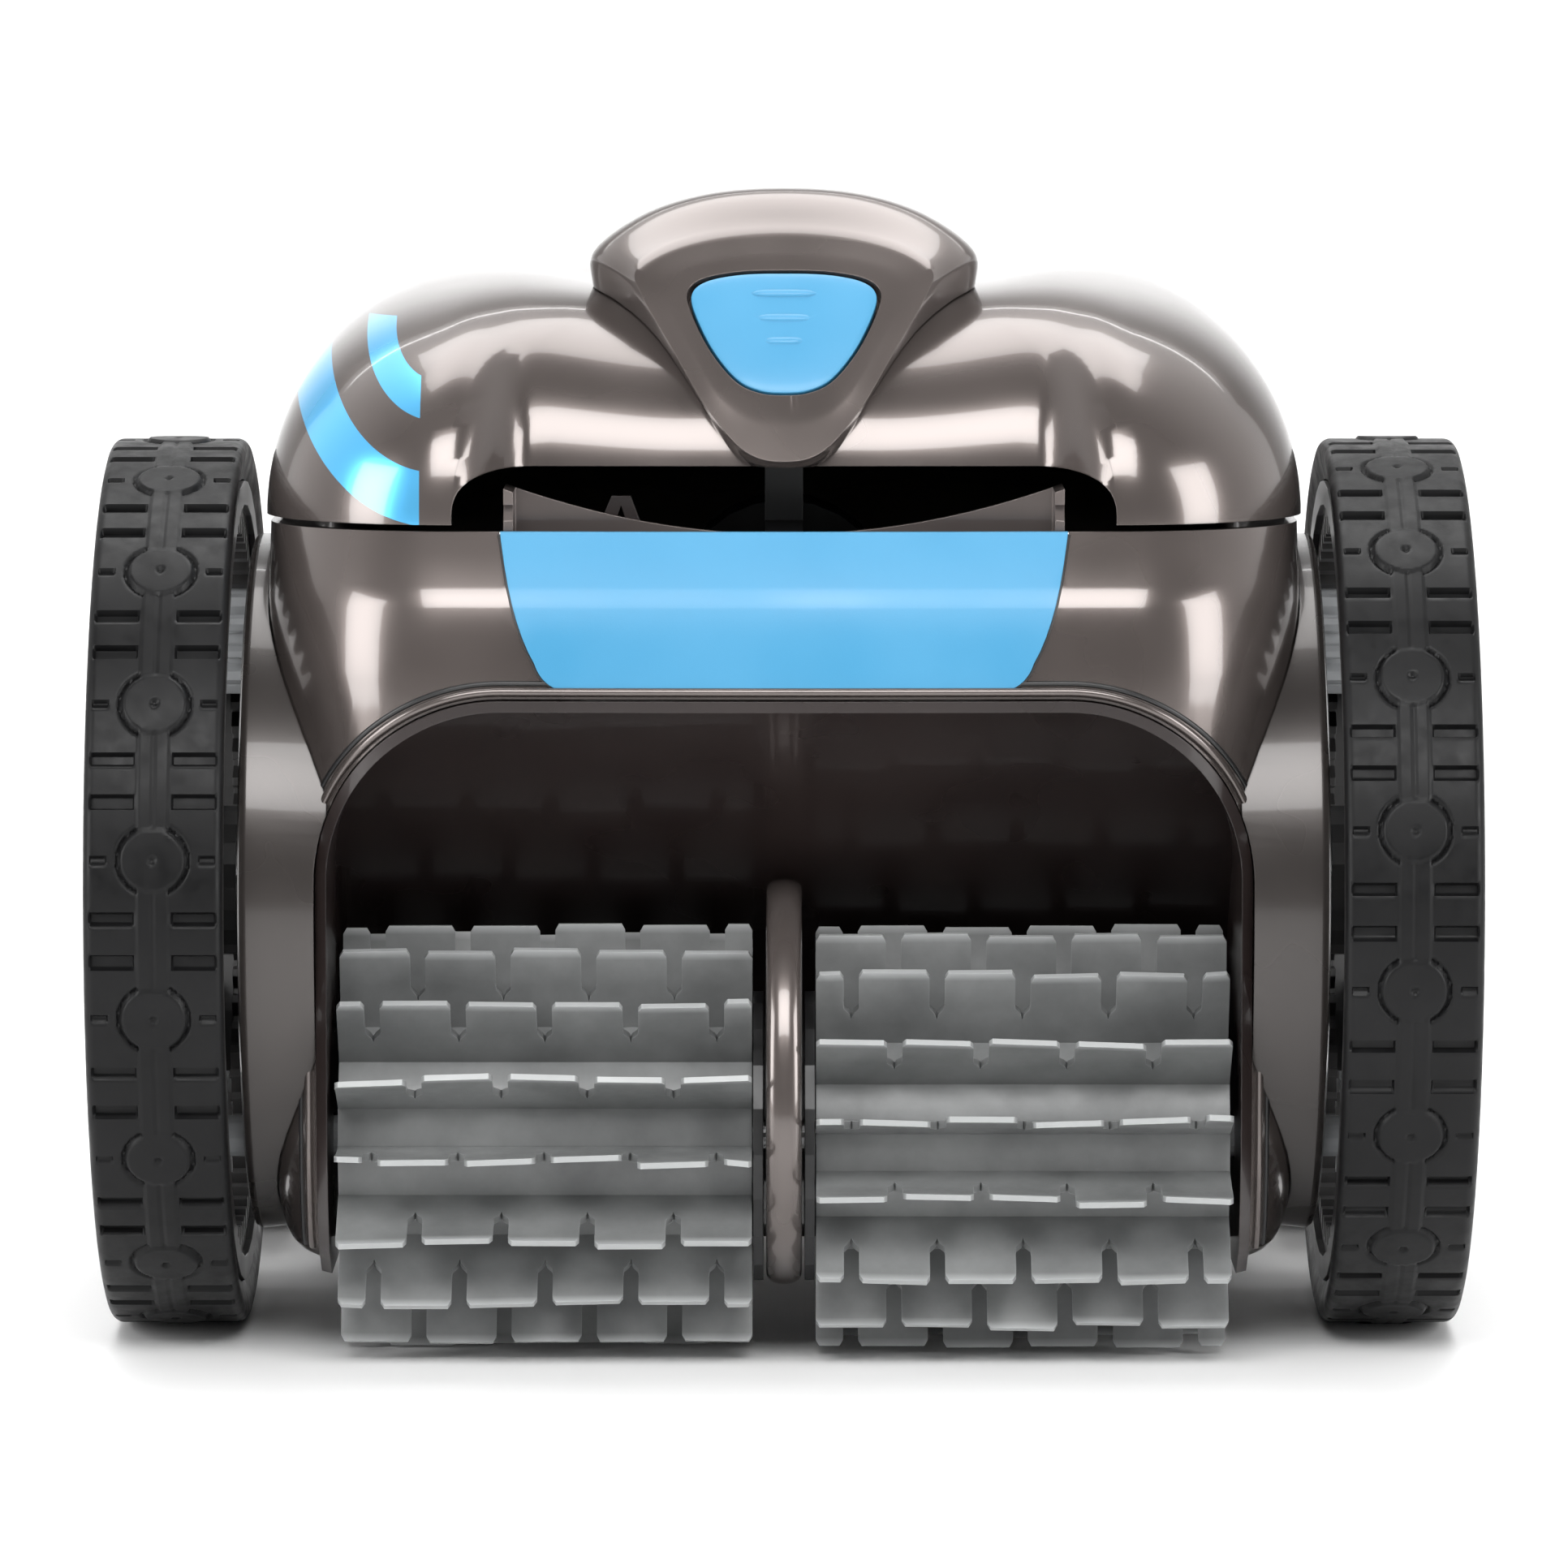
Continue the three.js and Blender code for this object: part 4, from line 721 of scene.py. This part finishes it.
def shell_knuckles(x):
    outer, clear = 8.4, 2.95
    knuckle = rod("x", HINGE_R, x - outer, x + outer, HINGE_Y, HINGE_Z)
    arm = box_solid(x - outer, x + outer, HINGE_Y - 13, HINGE_Y, HINGE_Z - HINGE_R, HINGE_Z + 1)
    combine(knuckle, arm, "UNION")
    slot = box_solid(x - clear, x + clear, HINGE_Y - 9, HINGE_Y + 20, HINGE_Z - 20, HINGE_Z + 20)
    cut(knuckle, slot)
    return cut(knuckle, rod("x", HINGE_PIN_R + GAP, x - 20, x + 20, HINGE_Y, HINGE_Z))


room = cut(lid_form(-LID_THICK), ellipsoid(*POCKET, LID_THICK))
lid = cut(lid_form(0), room)
cut(lid, ellipsoid(*POCKET, 0))
combine(lid, above_seam(0), "INTERSECT")
cut(lid, mouth_block())
cut(lid, button_prism(1, -20, POCKET_DEPTH))
cut(lid, along_press(3.6, -30, 60))
for x in (-HINGE_X, HINGE_X):
    combine(lid, lid_knuckle(x), "UNION")
finish_piece(lid, "lid_fine", "lid", ["lid"], LID_SHELL, 30)


def largest_body(obj):
    """Keeps the connected part of the mesh with the most vertices."""
    mesh = obj.data
    parent = list(range(len(mesh.vertices)))

    def find(i):
        while parent[i] != i:
            parent[i] = parent[parent[i]]
            i = parent[i]
        return i

    for edge in mesh.edges:
        a, b = find(edge.vertices[0]), find(edge.vertices[1])
        parent[a] = b
    roots = [find(i) for i in range(len(parent))]
    keep = max(set(roots), key=roots.count)
    verts, index = [], {}
    for i, v in enumerate(mesh.vertices):
        if roots[i] == keep:
            index[i] = len(verts)
            verts.append(v.co.copy())
    faces = [
        [index[i] for i in face.vertices] for face in mesh.polygons if roots[face.vertices[0]] == keep
    ]
    old = obj.data
    obj.data = bpy.data.meshes.new("kept")
    obj.data.from_pydata(verts, [], faces)
    bpy.data.meshes.remove(old)
    return obj


handle = shield()
cut(handle, ellipsoid(*GRIP_SPACE, 0))
cut(handle, button_prism(1, -20, POCKET_DEPTH))
cut(handle, along_press(3.6, -30, 60))
cut(handle, lid_form(GAP))
cut(handle, mouth_block())
finish_piece(largest_body(handle), "handle_fine", "lid", ["handle"], SHELL, 30)

button = combine(button_prism(0.955, 0.5, BUTTON_THICK, 1.6), along_press(3, 3, ROD_END), "UNION")
for height, half in ((333.5, 10), (326, 8.5), (319, 6)):
    ridge = []
    for i in range(9):
        t = math.pi * i / 8
        ridge.append((math.cos(t) * 1.3, math.sin(t) * 0.75))
    rings = []
    for k in range(13):
        share = -1 + k / 6
        taper = math.sqrt(max(0.02, 1 - share ** 4))
        ring = []
        for along, out in ridge + [(-1.3, -1.2), (1.3, -1.2)]:
            z = height + along * taper * 0.83
            bulge = 0.9 + out * taper
            ring.append((share * half, plate_y(z) - PRESS[0] * bulge, z - PRESS[1] * bulge))
        rings.append(ring)
    combine(button, loft("ridge", rings), "UNION")
finish_piece(button, "button_fine", "latch_button", ["latch_button"], BLUE, 30)

# ---------- casing ----------
inner = body_form(-WALL)
upper = body_form(0)
combine(upper, box_solid(-200, 200, -300, 300, SEAM_LOW + GAP, 300), "INTERSECT")
cut(upper, combine(body_form(-WALL), box_solid(-180, 180, -300, 300, 0, 300), "INTERSECT"))
cut(upper, arch_cut())
cut(upper, prism_y(panel_points(GAP), -300, MOUTH_BACK))
cut(upper, above_seam(-SEAM_GAP))
for x in (-HINGE_X, HINGE_X):
    combine(upper, shell_knuckles(x), "UNION")
side_bores(upper)
GLAND_R, GLAND_Z = 9.0, 190.0
cut(upper, rod("y", GLAND_R + GAP, BODY_BACK - 20, BODY_BACK + 20, 0, GLAND_Z))
finish_piece(upper, "upper_shell_fine", "hull", ["upper_shell"], SHELL, 30)

chassis = body_form(0)
combine(chassis, box_solid(-200, 200, -300, 300, 0, SEAM_LOW), "INTERSECT")
combine(inner, box_solid(-180, 180, BRUSH_Y + HOOD_R + 12, 260, 35, 300), "INTERSECT")
cut(chassis, inner)
cut(chassis, arch_cut())
cut(chassis, box_solid(-70, 70, -40, -12, 0, 60))
side_bores(chassis)
finish_piece(chassis, "chassis_fine", "hull", ["chassis"], SHELL, 30)

panel = cut(body_form(0.8), body_form(-3))
combine(panel, prism_y(panel_points(0), -300, MOUTH_BACK), "INTERSECT")
cut(panel, above_seam(-SEAM_GAP))
finish_piece(panel, "front_panel_fine", "hull", ["front_panel"], BLUE, 30)

hood = combine(arch_block(0), hood_block(HOOD_WALL), "INTERSECT")
combine(hood, body_form(3), "INTERSECT")
cut(hood, combine(arch_block(-HOOD_WALL), hood_block(0), "INTERSECT"))
combine(hood, box_solid(-200, 200, -300, 100, 24, 300), "INTERSECT")
cut(hood, rod("x", 7.7, -200, 200, BRUSH_Y, BRUSH_Z))
finish_piece(hood, "brush_hood_fine", "hull", ["brush_hood"], HOOD, 30)


def bezier(a, b, c, d, steps=28):
    out = []
    for i in range(steps):
        t = i / steps
        out.append(
            tuple(
                a[k] * (1 - t) ** 3 + 3 * b[k] * t * (1 - t) ** 2 + 3 * c[k] * t * t * (1 - t)
                + d[k] * t ** 3
                for k in (0, 1)
            )
        )
    return out


# ---------- side covers, behind the front wheels ----------
COVER_R, COVER_X = 112.0, 169.5


def turned_x(profile, y, z, side, around=160):
    """A solid of revolution about X through (y, z) from (x, radius) points, on the right or the left."""
    rings = []
    for x, r in profile:
        ring = []
        for i in range(around):
            t = 2 * math.pi * i / around
            ring.append((side * x, y + r * math.cos(t), z + r * math.sin(t)))
        rings.append(ring)
    return loft("turned", rings, flat_ends=True)


for side_name, sign in (("left", -1), ("right", 1)):
    profile = [(BODY_HALF - 20, 20), (BODY_HALF - 20, COVER_R - 3)]
    profile += [(COVER_X - 3, COVER_R - 0.3), (COVER_X - 1.8, COVER_R - 0.4), (COVER_X - 0.6, COVER_R - 1.2)]
    profile += [(COVER_X, COVER_R - 3), (COVER_X, 20)]
    cover = turned_x(profile, WHEEL_Y, WHEEL_R, sign)
    cut(cover, body_form(GAP))
    cut(cover, combine(arch_block(GAP), hood_block(HOOD_WALL + GAP), "INTERSECT"))
    side_bores(cover)
    combine(cover, box_solid(-300, 300, -300, 300, 18, 400), "INTERSECT")
    finish_piece(cover, "side_cover_" + side_name + "_fine", "hull", ["side_cover_" + side_name], COVER, 30)

# ---------- the fin between the brushes ----------
fin = bezier((-118, 146), (-170, 160), (-197, 120), (-198, 78))
fin += bezier((-198, 78), (-198, 40), (-172, 22), (-140, 21)) + [(-140, 21), (-60, 21), (-60, 146)]
fin = np.array(fin)
middle = np.array([-110.0, 84.0])
rings = []
for k in range(25):
    t = math.pi * k / 24
    x, inset = -math.cos(t) * 5.6, 4.6 * (1 - math.sin(t) ** 0.7)
    toward = middle - fin
    toward /= np.linalg.norm(toward, axis=1)[:, None]
    rings.append([(x, y, z) for y, z in fin + toward * inset])
strut = loft("strut", rings, 40)
combine(strut, hood_block(-GAP), "INTERSECT")
cut(strut, rod("x", 5.35, -50, 50, BRUSH_Y, BRUSH_Z))
finish_piece(strut, "centre_strut_fine", "hull", ["centre_strut"], SHELL, 40)

# ---------- the outlet duct ----------
DUCT_HALF, DUCT_LOW, DUCT_FRONT, DUCT_BACK, DUCT_WALL = 87.0, 216.0, -179.0, -150.0, 3.0


def duct_points(inset):
    half = DUCT_HALF - inset
    points = [(-half + 14, DUCT_LOW + inset), (half - 14, DUCT_LOW + inset)]
    points += [(half, DUCT_LOW + 30), (half, 275)]
    return points + quadratic((half, 275), (0, 243.5), (-half, 275), 60) + [(-half, DUCT_LOW + 30)]


duct = prism_y(duct_points(0), DUCT_FRONT, DUCT_BACK)
hollow = prism_y(duct_points(DUCT_WALL), DUCT_FRONT - 10, DUCT_BACK - DUCT_WALL)
hollow.data.transform(Matrix.Translation((0, 0, 0.02)))
cut(duct, hollow)
cut(duct, cut(body_form(10), body_form(-3 - GAP)))
cut(duct, rod("y", 13.85, -200, -100, 0, 232))
finish_piece(duct, "outlet_duct_fine", "hull", ["outlet_duct"], DUCT_LIT_TAUPE, 30)


# ---------- tyres ----------
def tread_height(angle, w, phase, half, scale):
    """How far the tread stands out, at w millimetres from its middle and at that angle."""
    lug_pitch = math.radians(20)
    shift = (angle - phase) / lug_pitch
    near = (shift - np.round(shift)) * lug_pitch * WHEEL_R
    mid = (shift - np.floor(shift) - 0.5) * lug_pitch * WHEEL_R
    h = np.zeros(np.broadcast(angle, w).shape)
    strip = np.clip((4.8 - np.abs(w)) / 0.4, 0, 1)
    h += 0.5 * strip - 0.45 * np.clip((0.55 - np.abs(w)) / 0.3, 0, 1)
    disc = np.hypot(near, w)
    lug = np.clip((10 - disc) / 0.4, 0, 1)
    h = np.maximum(h, 0.85 * lug) - 1.0 * np.clip((1.3 - disc) / 0.4, 0, 1)
    ring = np.clip((0.75 - np.abs(disc - 10.9)) / 0.4, 0, 1)
    h -= 0.9 * ring * np.clip((np.abs(w) - 4.6) / 0.4, 0, 1)
    for side in (-6.8, 6.8):
        slot = np.clip((2.1 - np.abs(mid - side)) / 0.4, 0, 1)
        reach = np.clip((np.abs(w) - 5.6) / 0.4, 0, 1) * np.clip((half - 2.0 - np.abs(w)) / 0.4, 0, 1)
        h -= 2.3 * slot * reach
    notch = np.clip((1.2 - np.abs(near)) / 0.4, 0, 1) * np.clip((np.abs(w) - half + 7.5) / 0.4, 0, 1)
    h -= 1.4 * notch * np.clip((half - 2.2 - np.abs(w)) / 0.4, 0, 1)
    return h * scale


def tyre(name, side, inner_x, outer_x, radius, thick, y, z, phase, around, scale):
    half = (outer_x - inner_x) / 2
    across = np.concatenate([
        np.linspace(-half, -half + 3.4, 9)[:-1], np.linspace(-half + 3.4, half - 3.4, 62),
        np.linspace(half - 3.4, half, 9)[1:],
    ])
    angles = np.arange(around) * 2 * math.pi / around
    shoulder = np.clip((np.abs(across) - (half - 3.4)) / 3.4, 0, 1)
    base = radius - 1.0 - 3.6 * (1 - np.sqrt(np.clip(1 - shoulder ** 2, 0, 1)))
    outer = base[None, :] + tread_height(angles[:, None], across[None, :], phase, half, scale)
    inner = radius - thick
    wall_low = np.array([(half - 0.6, radius - 9), (half - 2, inner), (2 - half, inner), (0.6 - half, radius - 9)])
    count = len(across) + 4
    verts = []
    for i, angle in enumerate(angles):
        for w, r in list(zip(across, outer[i])) + [tuple(p) for p in wall_low]:
            x = side * (w + (inner_x + outer_x) / 2)
            verts.append((x, y + r * math.cos(angle), z + r * math.sin(angle)))
    faces = []
    for i in range(around):
        j = (i + 1) % around
        for k in range(count):
            m = (k + 1) % count
            face = (i * count + k, i * count + m, j * count + m, j * count + k)
            faces.append(face[::-1] if side > 0 else face)
    body = "wheel_" + name
    obj = make_object(name, verts, faces)
    return finish_piece(obj, "tyre_" + name + "_fine", body, ["tyre_" + name], TYRE, 50)


LUG_PHASE = {"left": math.radians(-168.4), "right": math.radians(-172.1)}
for side_name, sign in (("left", -1), ("right", 1)):
    tyre("front_" + side_name, sign, WHEEL_INNER_X, WHEEL_OUTER_X, WHEEL_R, TYRE_THICK, WHEEL_Y, WHEEL_R,
         LUG_PHASE[side_name], 1080, 1.0)
    tyre("rear_" + side_name, sign, REAR_INNER_X, REAR_INNER_X + REAR_WIDTH, REAR_R, REAR_TYRE_THICK, REAR_Y,
         REAR_R, 0.1, 540, 0.9)

# ---------- brushes ----------
TAB_WIDTH = (BRUSH_LENGTH - (TABS - 1) * TAB_GAP) / TABS


def blade_runs(offset):
    """(low, high) of each tab along the brush."""
    pitch = TAB_WIDTH + TAB_GAP
    cuts = [pitch * (k + offset) - TAB_GAP for k in range(TABS + 2)]
    cuts = [c for c in cuts if c >= 1 and c + TAB_GAP <= BRUSH_LENGTH - 1]
    edges = [0.0] + [e for c in cuts for e in (c, c + TAB_GAP)] + [BRUSH_LENGTH]
    return list(zip(edges[::2], edges[1::2]))


def brush(name, phase, x0):
    verts, faces, tips = [], [], []
    sleeve = 64
    for radius in (BRUSH_BORE_R, BRUSH_ROOT_R + 0.7):
        for x in (0, BRUSH_LENGTH):
            for i in range(sleeve):
                t = 2 * math.pi * i / sleeve
                verts.append((x0 + x, BRUSH_Y + radius * math.cos(t), BRUSH_Z + radius * math.sin(t)))
                tips.append(0.0)
    for i in range(sleeve):
        j = (i + 1) % sleeve
        a, b, c, d = (i + s * sleeve for s in range(4))
        e, f, g, h = (j + s * sleeve for s in range(4))
        faces += [(a, b, f, e), (c, g, h, d), (a, e, g, c), (b, d, h, f)]
    for row in range(BLADE_ROWS):
        angle0 = math.radians(180 - phase - row * 360 / BLADE_ROWS)
        sway = rng.uniform(-1.6, 1.6)
        for low, high in blade_runs(0 if row % 2 else 0.5):
            lean = sway + rng.uniform(-1.3, 1.3)
            twist = rng.uniform(-0.9, 0.9)
            tip_r = BRUSH_R - rng.uniform(0.3, 1.6)
            columns, rows_up = 9, 15
            grid = {}
            root_low = 0.0 if low == 0 else low - TAB_GAP / 2
            root_high = BRUSH_LENGTH if high == BRUSH_LENGTH else high + TAB_GAP / 2
            for face_side in (-1, 1):
                for k in range(rows_up):
                    up = k / (rows_up - 1)
                    r = BRUSH_ROOT_R + (tip_r - BRUSH_ROOT_R) * up
                    fillet = max(0.0, 1 - (r - (BRUSH_R - TAB_DEPTH)) / 2.4)
                    opening = smooth(BRUSH_R - TAB_DEPTH - 2.4, BRUSH_R - TAB_DEPTH + 1.2, r)
                    for m in range(columns):
                        across = m / (columns - 1)
                        lo = root_low + (low - root_low) * opening
                        hi = root_high + (high - root_high) * opening
                        x = lo + (hi - lo) * across
                        rounding = 1.1 * max(0.0, up - 0.93) / 0.07
                        x += rounding * (0.5 - across) * 2 * abs(2 * across - 1) ** 6
                        bend = (lean + twist * (across - 0.5)) * up ** 2.2
                        thick = 1.35 - 0.45 * up + 0.15 * max(0.0, fillet - 1)
                        off = face_side * thick + bend
                        ca, sa = math.cos(angle0), math.sin(angle0)
                        grid[face_side, k, m] = len(verts)
                        verts.append((x0 + x, BRUSH_Y + r * ca - off * sa, BRUSH_Z + r * sa + off * ca))
                        tips.append(up)
            for k in range(rows_up - 1):
                for m in range(columns - 1):
                    for s in (-1, 1):
                        f = (grid[s, k, m], grid[s, k, m + 1], grid[s, k + 1, m + 1], grid[s, k + 1, m])
                        faces.append(f if s < 0 else f[::-1])
                for m in (0, columns - 1):
                    f = (grid[-1, k, m], grid[1, k, m], grid[1, k + 1, m], grid[-1, k + 1, m])
                    faces.append(f[::-1] if m == 0 else f)
            for m in range(columns - 1):
                for k in (0, rows_up - 1):
                    f = (grid[-1, k, m], grid[-1, k, m + 1], grid[1, k, m + 1], grid[1, k, m])
                    faces.append(f if k else f[::-1])
    obj = make_object(name, verts, faces, 40)
    attribute = obj.data.attributes.new("tip", "FLOAT", "POINT")
    attribute.data.foreach_set("value", tips)
    return finish_piece(obj, "brush_" + name + "_fine", "brush_" + name, ["brush_skin_" + name], BLADE, 40)


brush("left", 0.0, -BRUSH_INNER_X - BRUSH_LENGTH)
brush("right", 180 / BLADE_ROWS, BRUSH_INNER_X)


# ---------- rims' bead round the arch ----------
def arch_line(grow):
    """The arch's edge from its right foot over the top to its left foot, as (x, z) points."""
    outline = arch_points(grow, 40)
    leg = [(outline[1][0], z) for z in np.linspace(36, ARCH_TOP - ARCH_CORNER - 2, 40)]
    right, left = outline[2:43], outline[43:]
    across = [(x, ARCH_TOP + grow) for x in np.linspace(right[-1][0], left[0][0], 30)[1:-1]]
    return leg + right + across + left + [(-x, z) for x, z in leg[::-1]]


def panel_shade_line(grow):
    """The front panel's side edges and its lower edge, as (x, z) points."""
    half = [(x, z) for x, z in panel_points(grow) if x > 0 and z < SEAM_TOP]
    base = [(x, half[0][1]) for x in np.linspace(-half[0][0], half[0][0], 24)[1:-1]]
    last = (half[-1][0] + 0.4, SEAM_TOP - SEAM_GAP - 1)
    right = half + [last]
    return [(-x, z) for x, z in right[::-1]] + base + right


def bead(name, line, radius, lift, material):
    """A round bead that follows a line on the casing's front."""
    path = [front_point(x, z, lift) for x, z in line]
    curve = bpy.data.curves.new(name, "CURVE")
    curve.dimensions = "3D"
    curve.bevel_depth = radius
    curve.bevel_resolution = 4
    curve.use_fill_caps = True
    spline = curve.splines.new("POLY")
    spline.points.add(len(path) - 1)
    for point, place in zip(spline.points, path):
        point.co = (*place, 1)
    made = bpy.data.objects.new(name, curve)
    bpy.context.scene.collection.objects.link(made)
    graph = bpy.context.evaluated_depsgraph_get()
    mesh = bpy.data.meshes.new_from_object(made.evaluated_get(graph))
    bpy.data.objects.remove(made)
    obj = bpy.data.objects.new(name, mesh)
    bpy.context.scene.collection.objects.link(obj)
    return finish_piece(obj, name, "hull", [], material, 50)


def front_point(x, z, lift):
    """The point of the casing's front surface at that x and height."""
    levels = [(row[0], row[1], row[3]) for row in BODY_LEVELS]
    heights = [level[0] for level in levels]
    inset = float(np.interp(z, heights, [level[1] for level in levels]))
    side = float(np.interp(z, heights, [level[2] for level in levels]))
    half = BODY_HALF - side
    corner = 56.0
    flat = half - corner
    y = BODY_FRONT + inset
    if abs(x) > flat:
        reach = min(1.0, (abs(x) - flat) / corner)
        y += corner * (1 - math.sqrt(1 - reach ** 2))
    y -= 6 * (1 - min(1.0, abs(x) / half) ** 2)
    return (x, y - lift, z)


bead("arch_bead", arch_line(2.6), 1.5, 0.3, SHELL)
bead("arch_line", arch_line(5.2), 0.9, -0.3, BLACK)
# Painted shade: a thin black bead along the front panel's sides and lower edge darkens the gap between the panel
# and the casing.
bead("panel_shade_line", panel_shade_line(0.2), 0.6, -0.1, BLACK)

# ---------- finish of the CAD pieces that show as they are ----------
PAINT = {
    "shell": SHELL, "hood": HOOD, "blue": BLUE, "blade": BLADE, "tyre": TYRE, "rim": RIM, "black": BLACK,
    "pale": PALE, "mesh": MESH, "steel": STEEL,
}
NODE_PAINT = {
    "rim_": "rim", "axle_": "steel", "hinge_pin": "steel", "strut_pin": "steel", "latch_pin": "steel",
    "impeller": "blue", "filter_handle": "blue", "filter_frame": "pale", "filter_cover": "pale",
    "filter_mesh": "mesh", "duct_clip": "hood", "bush_": "pale", "brush_gear": "pale", "pinion_": "pale",
}
for node_name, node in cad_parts.items():
    if node_name.startswith(("lid", "handle", "upper_shell", "chassis")):
        continue
    chosen = next((v for k, v in NODE_PAINT.items() if node_name.startswith(k)), "black")
    paint(node, PAINT[chosen])

# ---------- light and floor ----------
scene = bpy.context.scene
world = bpy.data.worlds.new("world")
world.use_nodes = True
sky = world.node_tree
direction = sky.nodes.new("ShaderNodeTexCoord")
parts = sky.nodes.new("ShaderNodeSeparateXYZ")
fade = sky.nodes.new("ShaderNodeMapRange")
fade.inputs["From Min"].default_value = -0.35
fade.inputs["From Max"].default_value = 0.45
fade.inputs["To Min"].default_value = 0.16
fade.inputs["To Max"].default_value = 1.25
sky.links.new(direction.outputs["Generated"], parts.inputs[0])
sky.links.new(parts.outputs["Y"], fade.inputs["Value"])
sky.links.new(fade.outputs["Result"], sky.nodes["Background"].inputs["Strength"])
sky.nodes["Background"].inputs["Color"].default_value = (1, 1, 1, 1)
scene.world = world


def softbox(name, place, target, width, height, power):
    data = bpy.data.lights.new(name, "AREA")
    data.shape = "RECTANGLE"
    data.size = width
    data.size_y = height
    data.energy = power
    light = bpy.data.objects.new(name, data)
    light.location = place
    direction = Vector(target) - Vector(place)
    light.rotation_euler = direction.to_track_quat("-Z", "Y").to_euler()
    scene.collection.objects.link(light)


softbox("top", (0, 0.2, 1.6), (0, 0.05, 0.1), 1.4, 0.8, 15)
softbox("backdrop", (0, 2.6, 3.4), (0, 5.2, 0.8), 6.0, 0.8, 180)
softbox("left", (-1.7, -1.1, 0.7), (0, -0.1, 0.15), 0.8, 1.2, 24)
softbox("right", (1.7, -1.1, 0.7), (0, -0.1, 0.15), 0.8, 1.2, 24)
softbox("front", (0, -1.95, 1.7), (0, -0.15, 0.2), 1.7, 0.95, 46)

ground = Nodes("floor")
ground.link(
    ground.ramp(ground.noise(3, 4), [(0.3, (0.9, 0.9, 0.9)), (0.7, (0.93, 0.93, 0.93))]),
    ground.shader.inputs["Base Color"],
)
ground.link(ground.spread(ground.noise(20, 4), 0.5, 0.6), ground.shader.inputs["Roughness"])
# The floor runs back and curves up into a plain backdrop.
sweep = [(-6.0, 0.0), (4.0, 0.0)]
sweep += [(4.0 + 1.5 * math.sin(t), 1.5 - 1.5 * math.cos(t)) for t in np.linspace(0.05, math.pi / 2, 24)]
sweep += [(5.5, 6.0)]
floor_verts = [(x, y, z) for y, z in sweep for x in (-7, 7)]
floor_faces = [(2 * i, 2 * i + 1, 2 * i + 3, 2 * i + 2) for i in range(len(sweep) - 1)]
floor = make_object("floor", floor_verts, floor_faces, 60)
paint(floor, ground.material)

scene.view_settings.view_transform = "Standard"
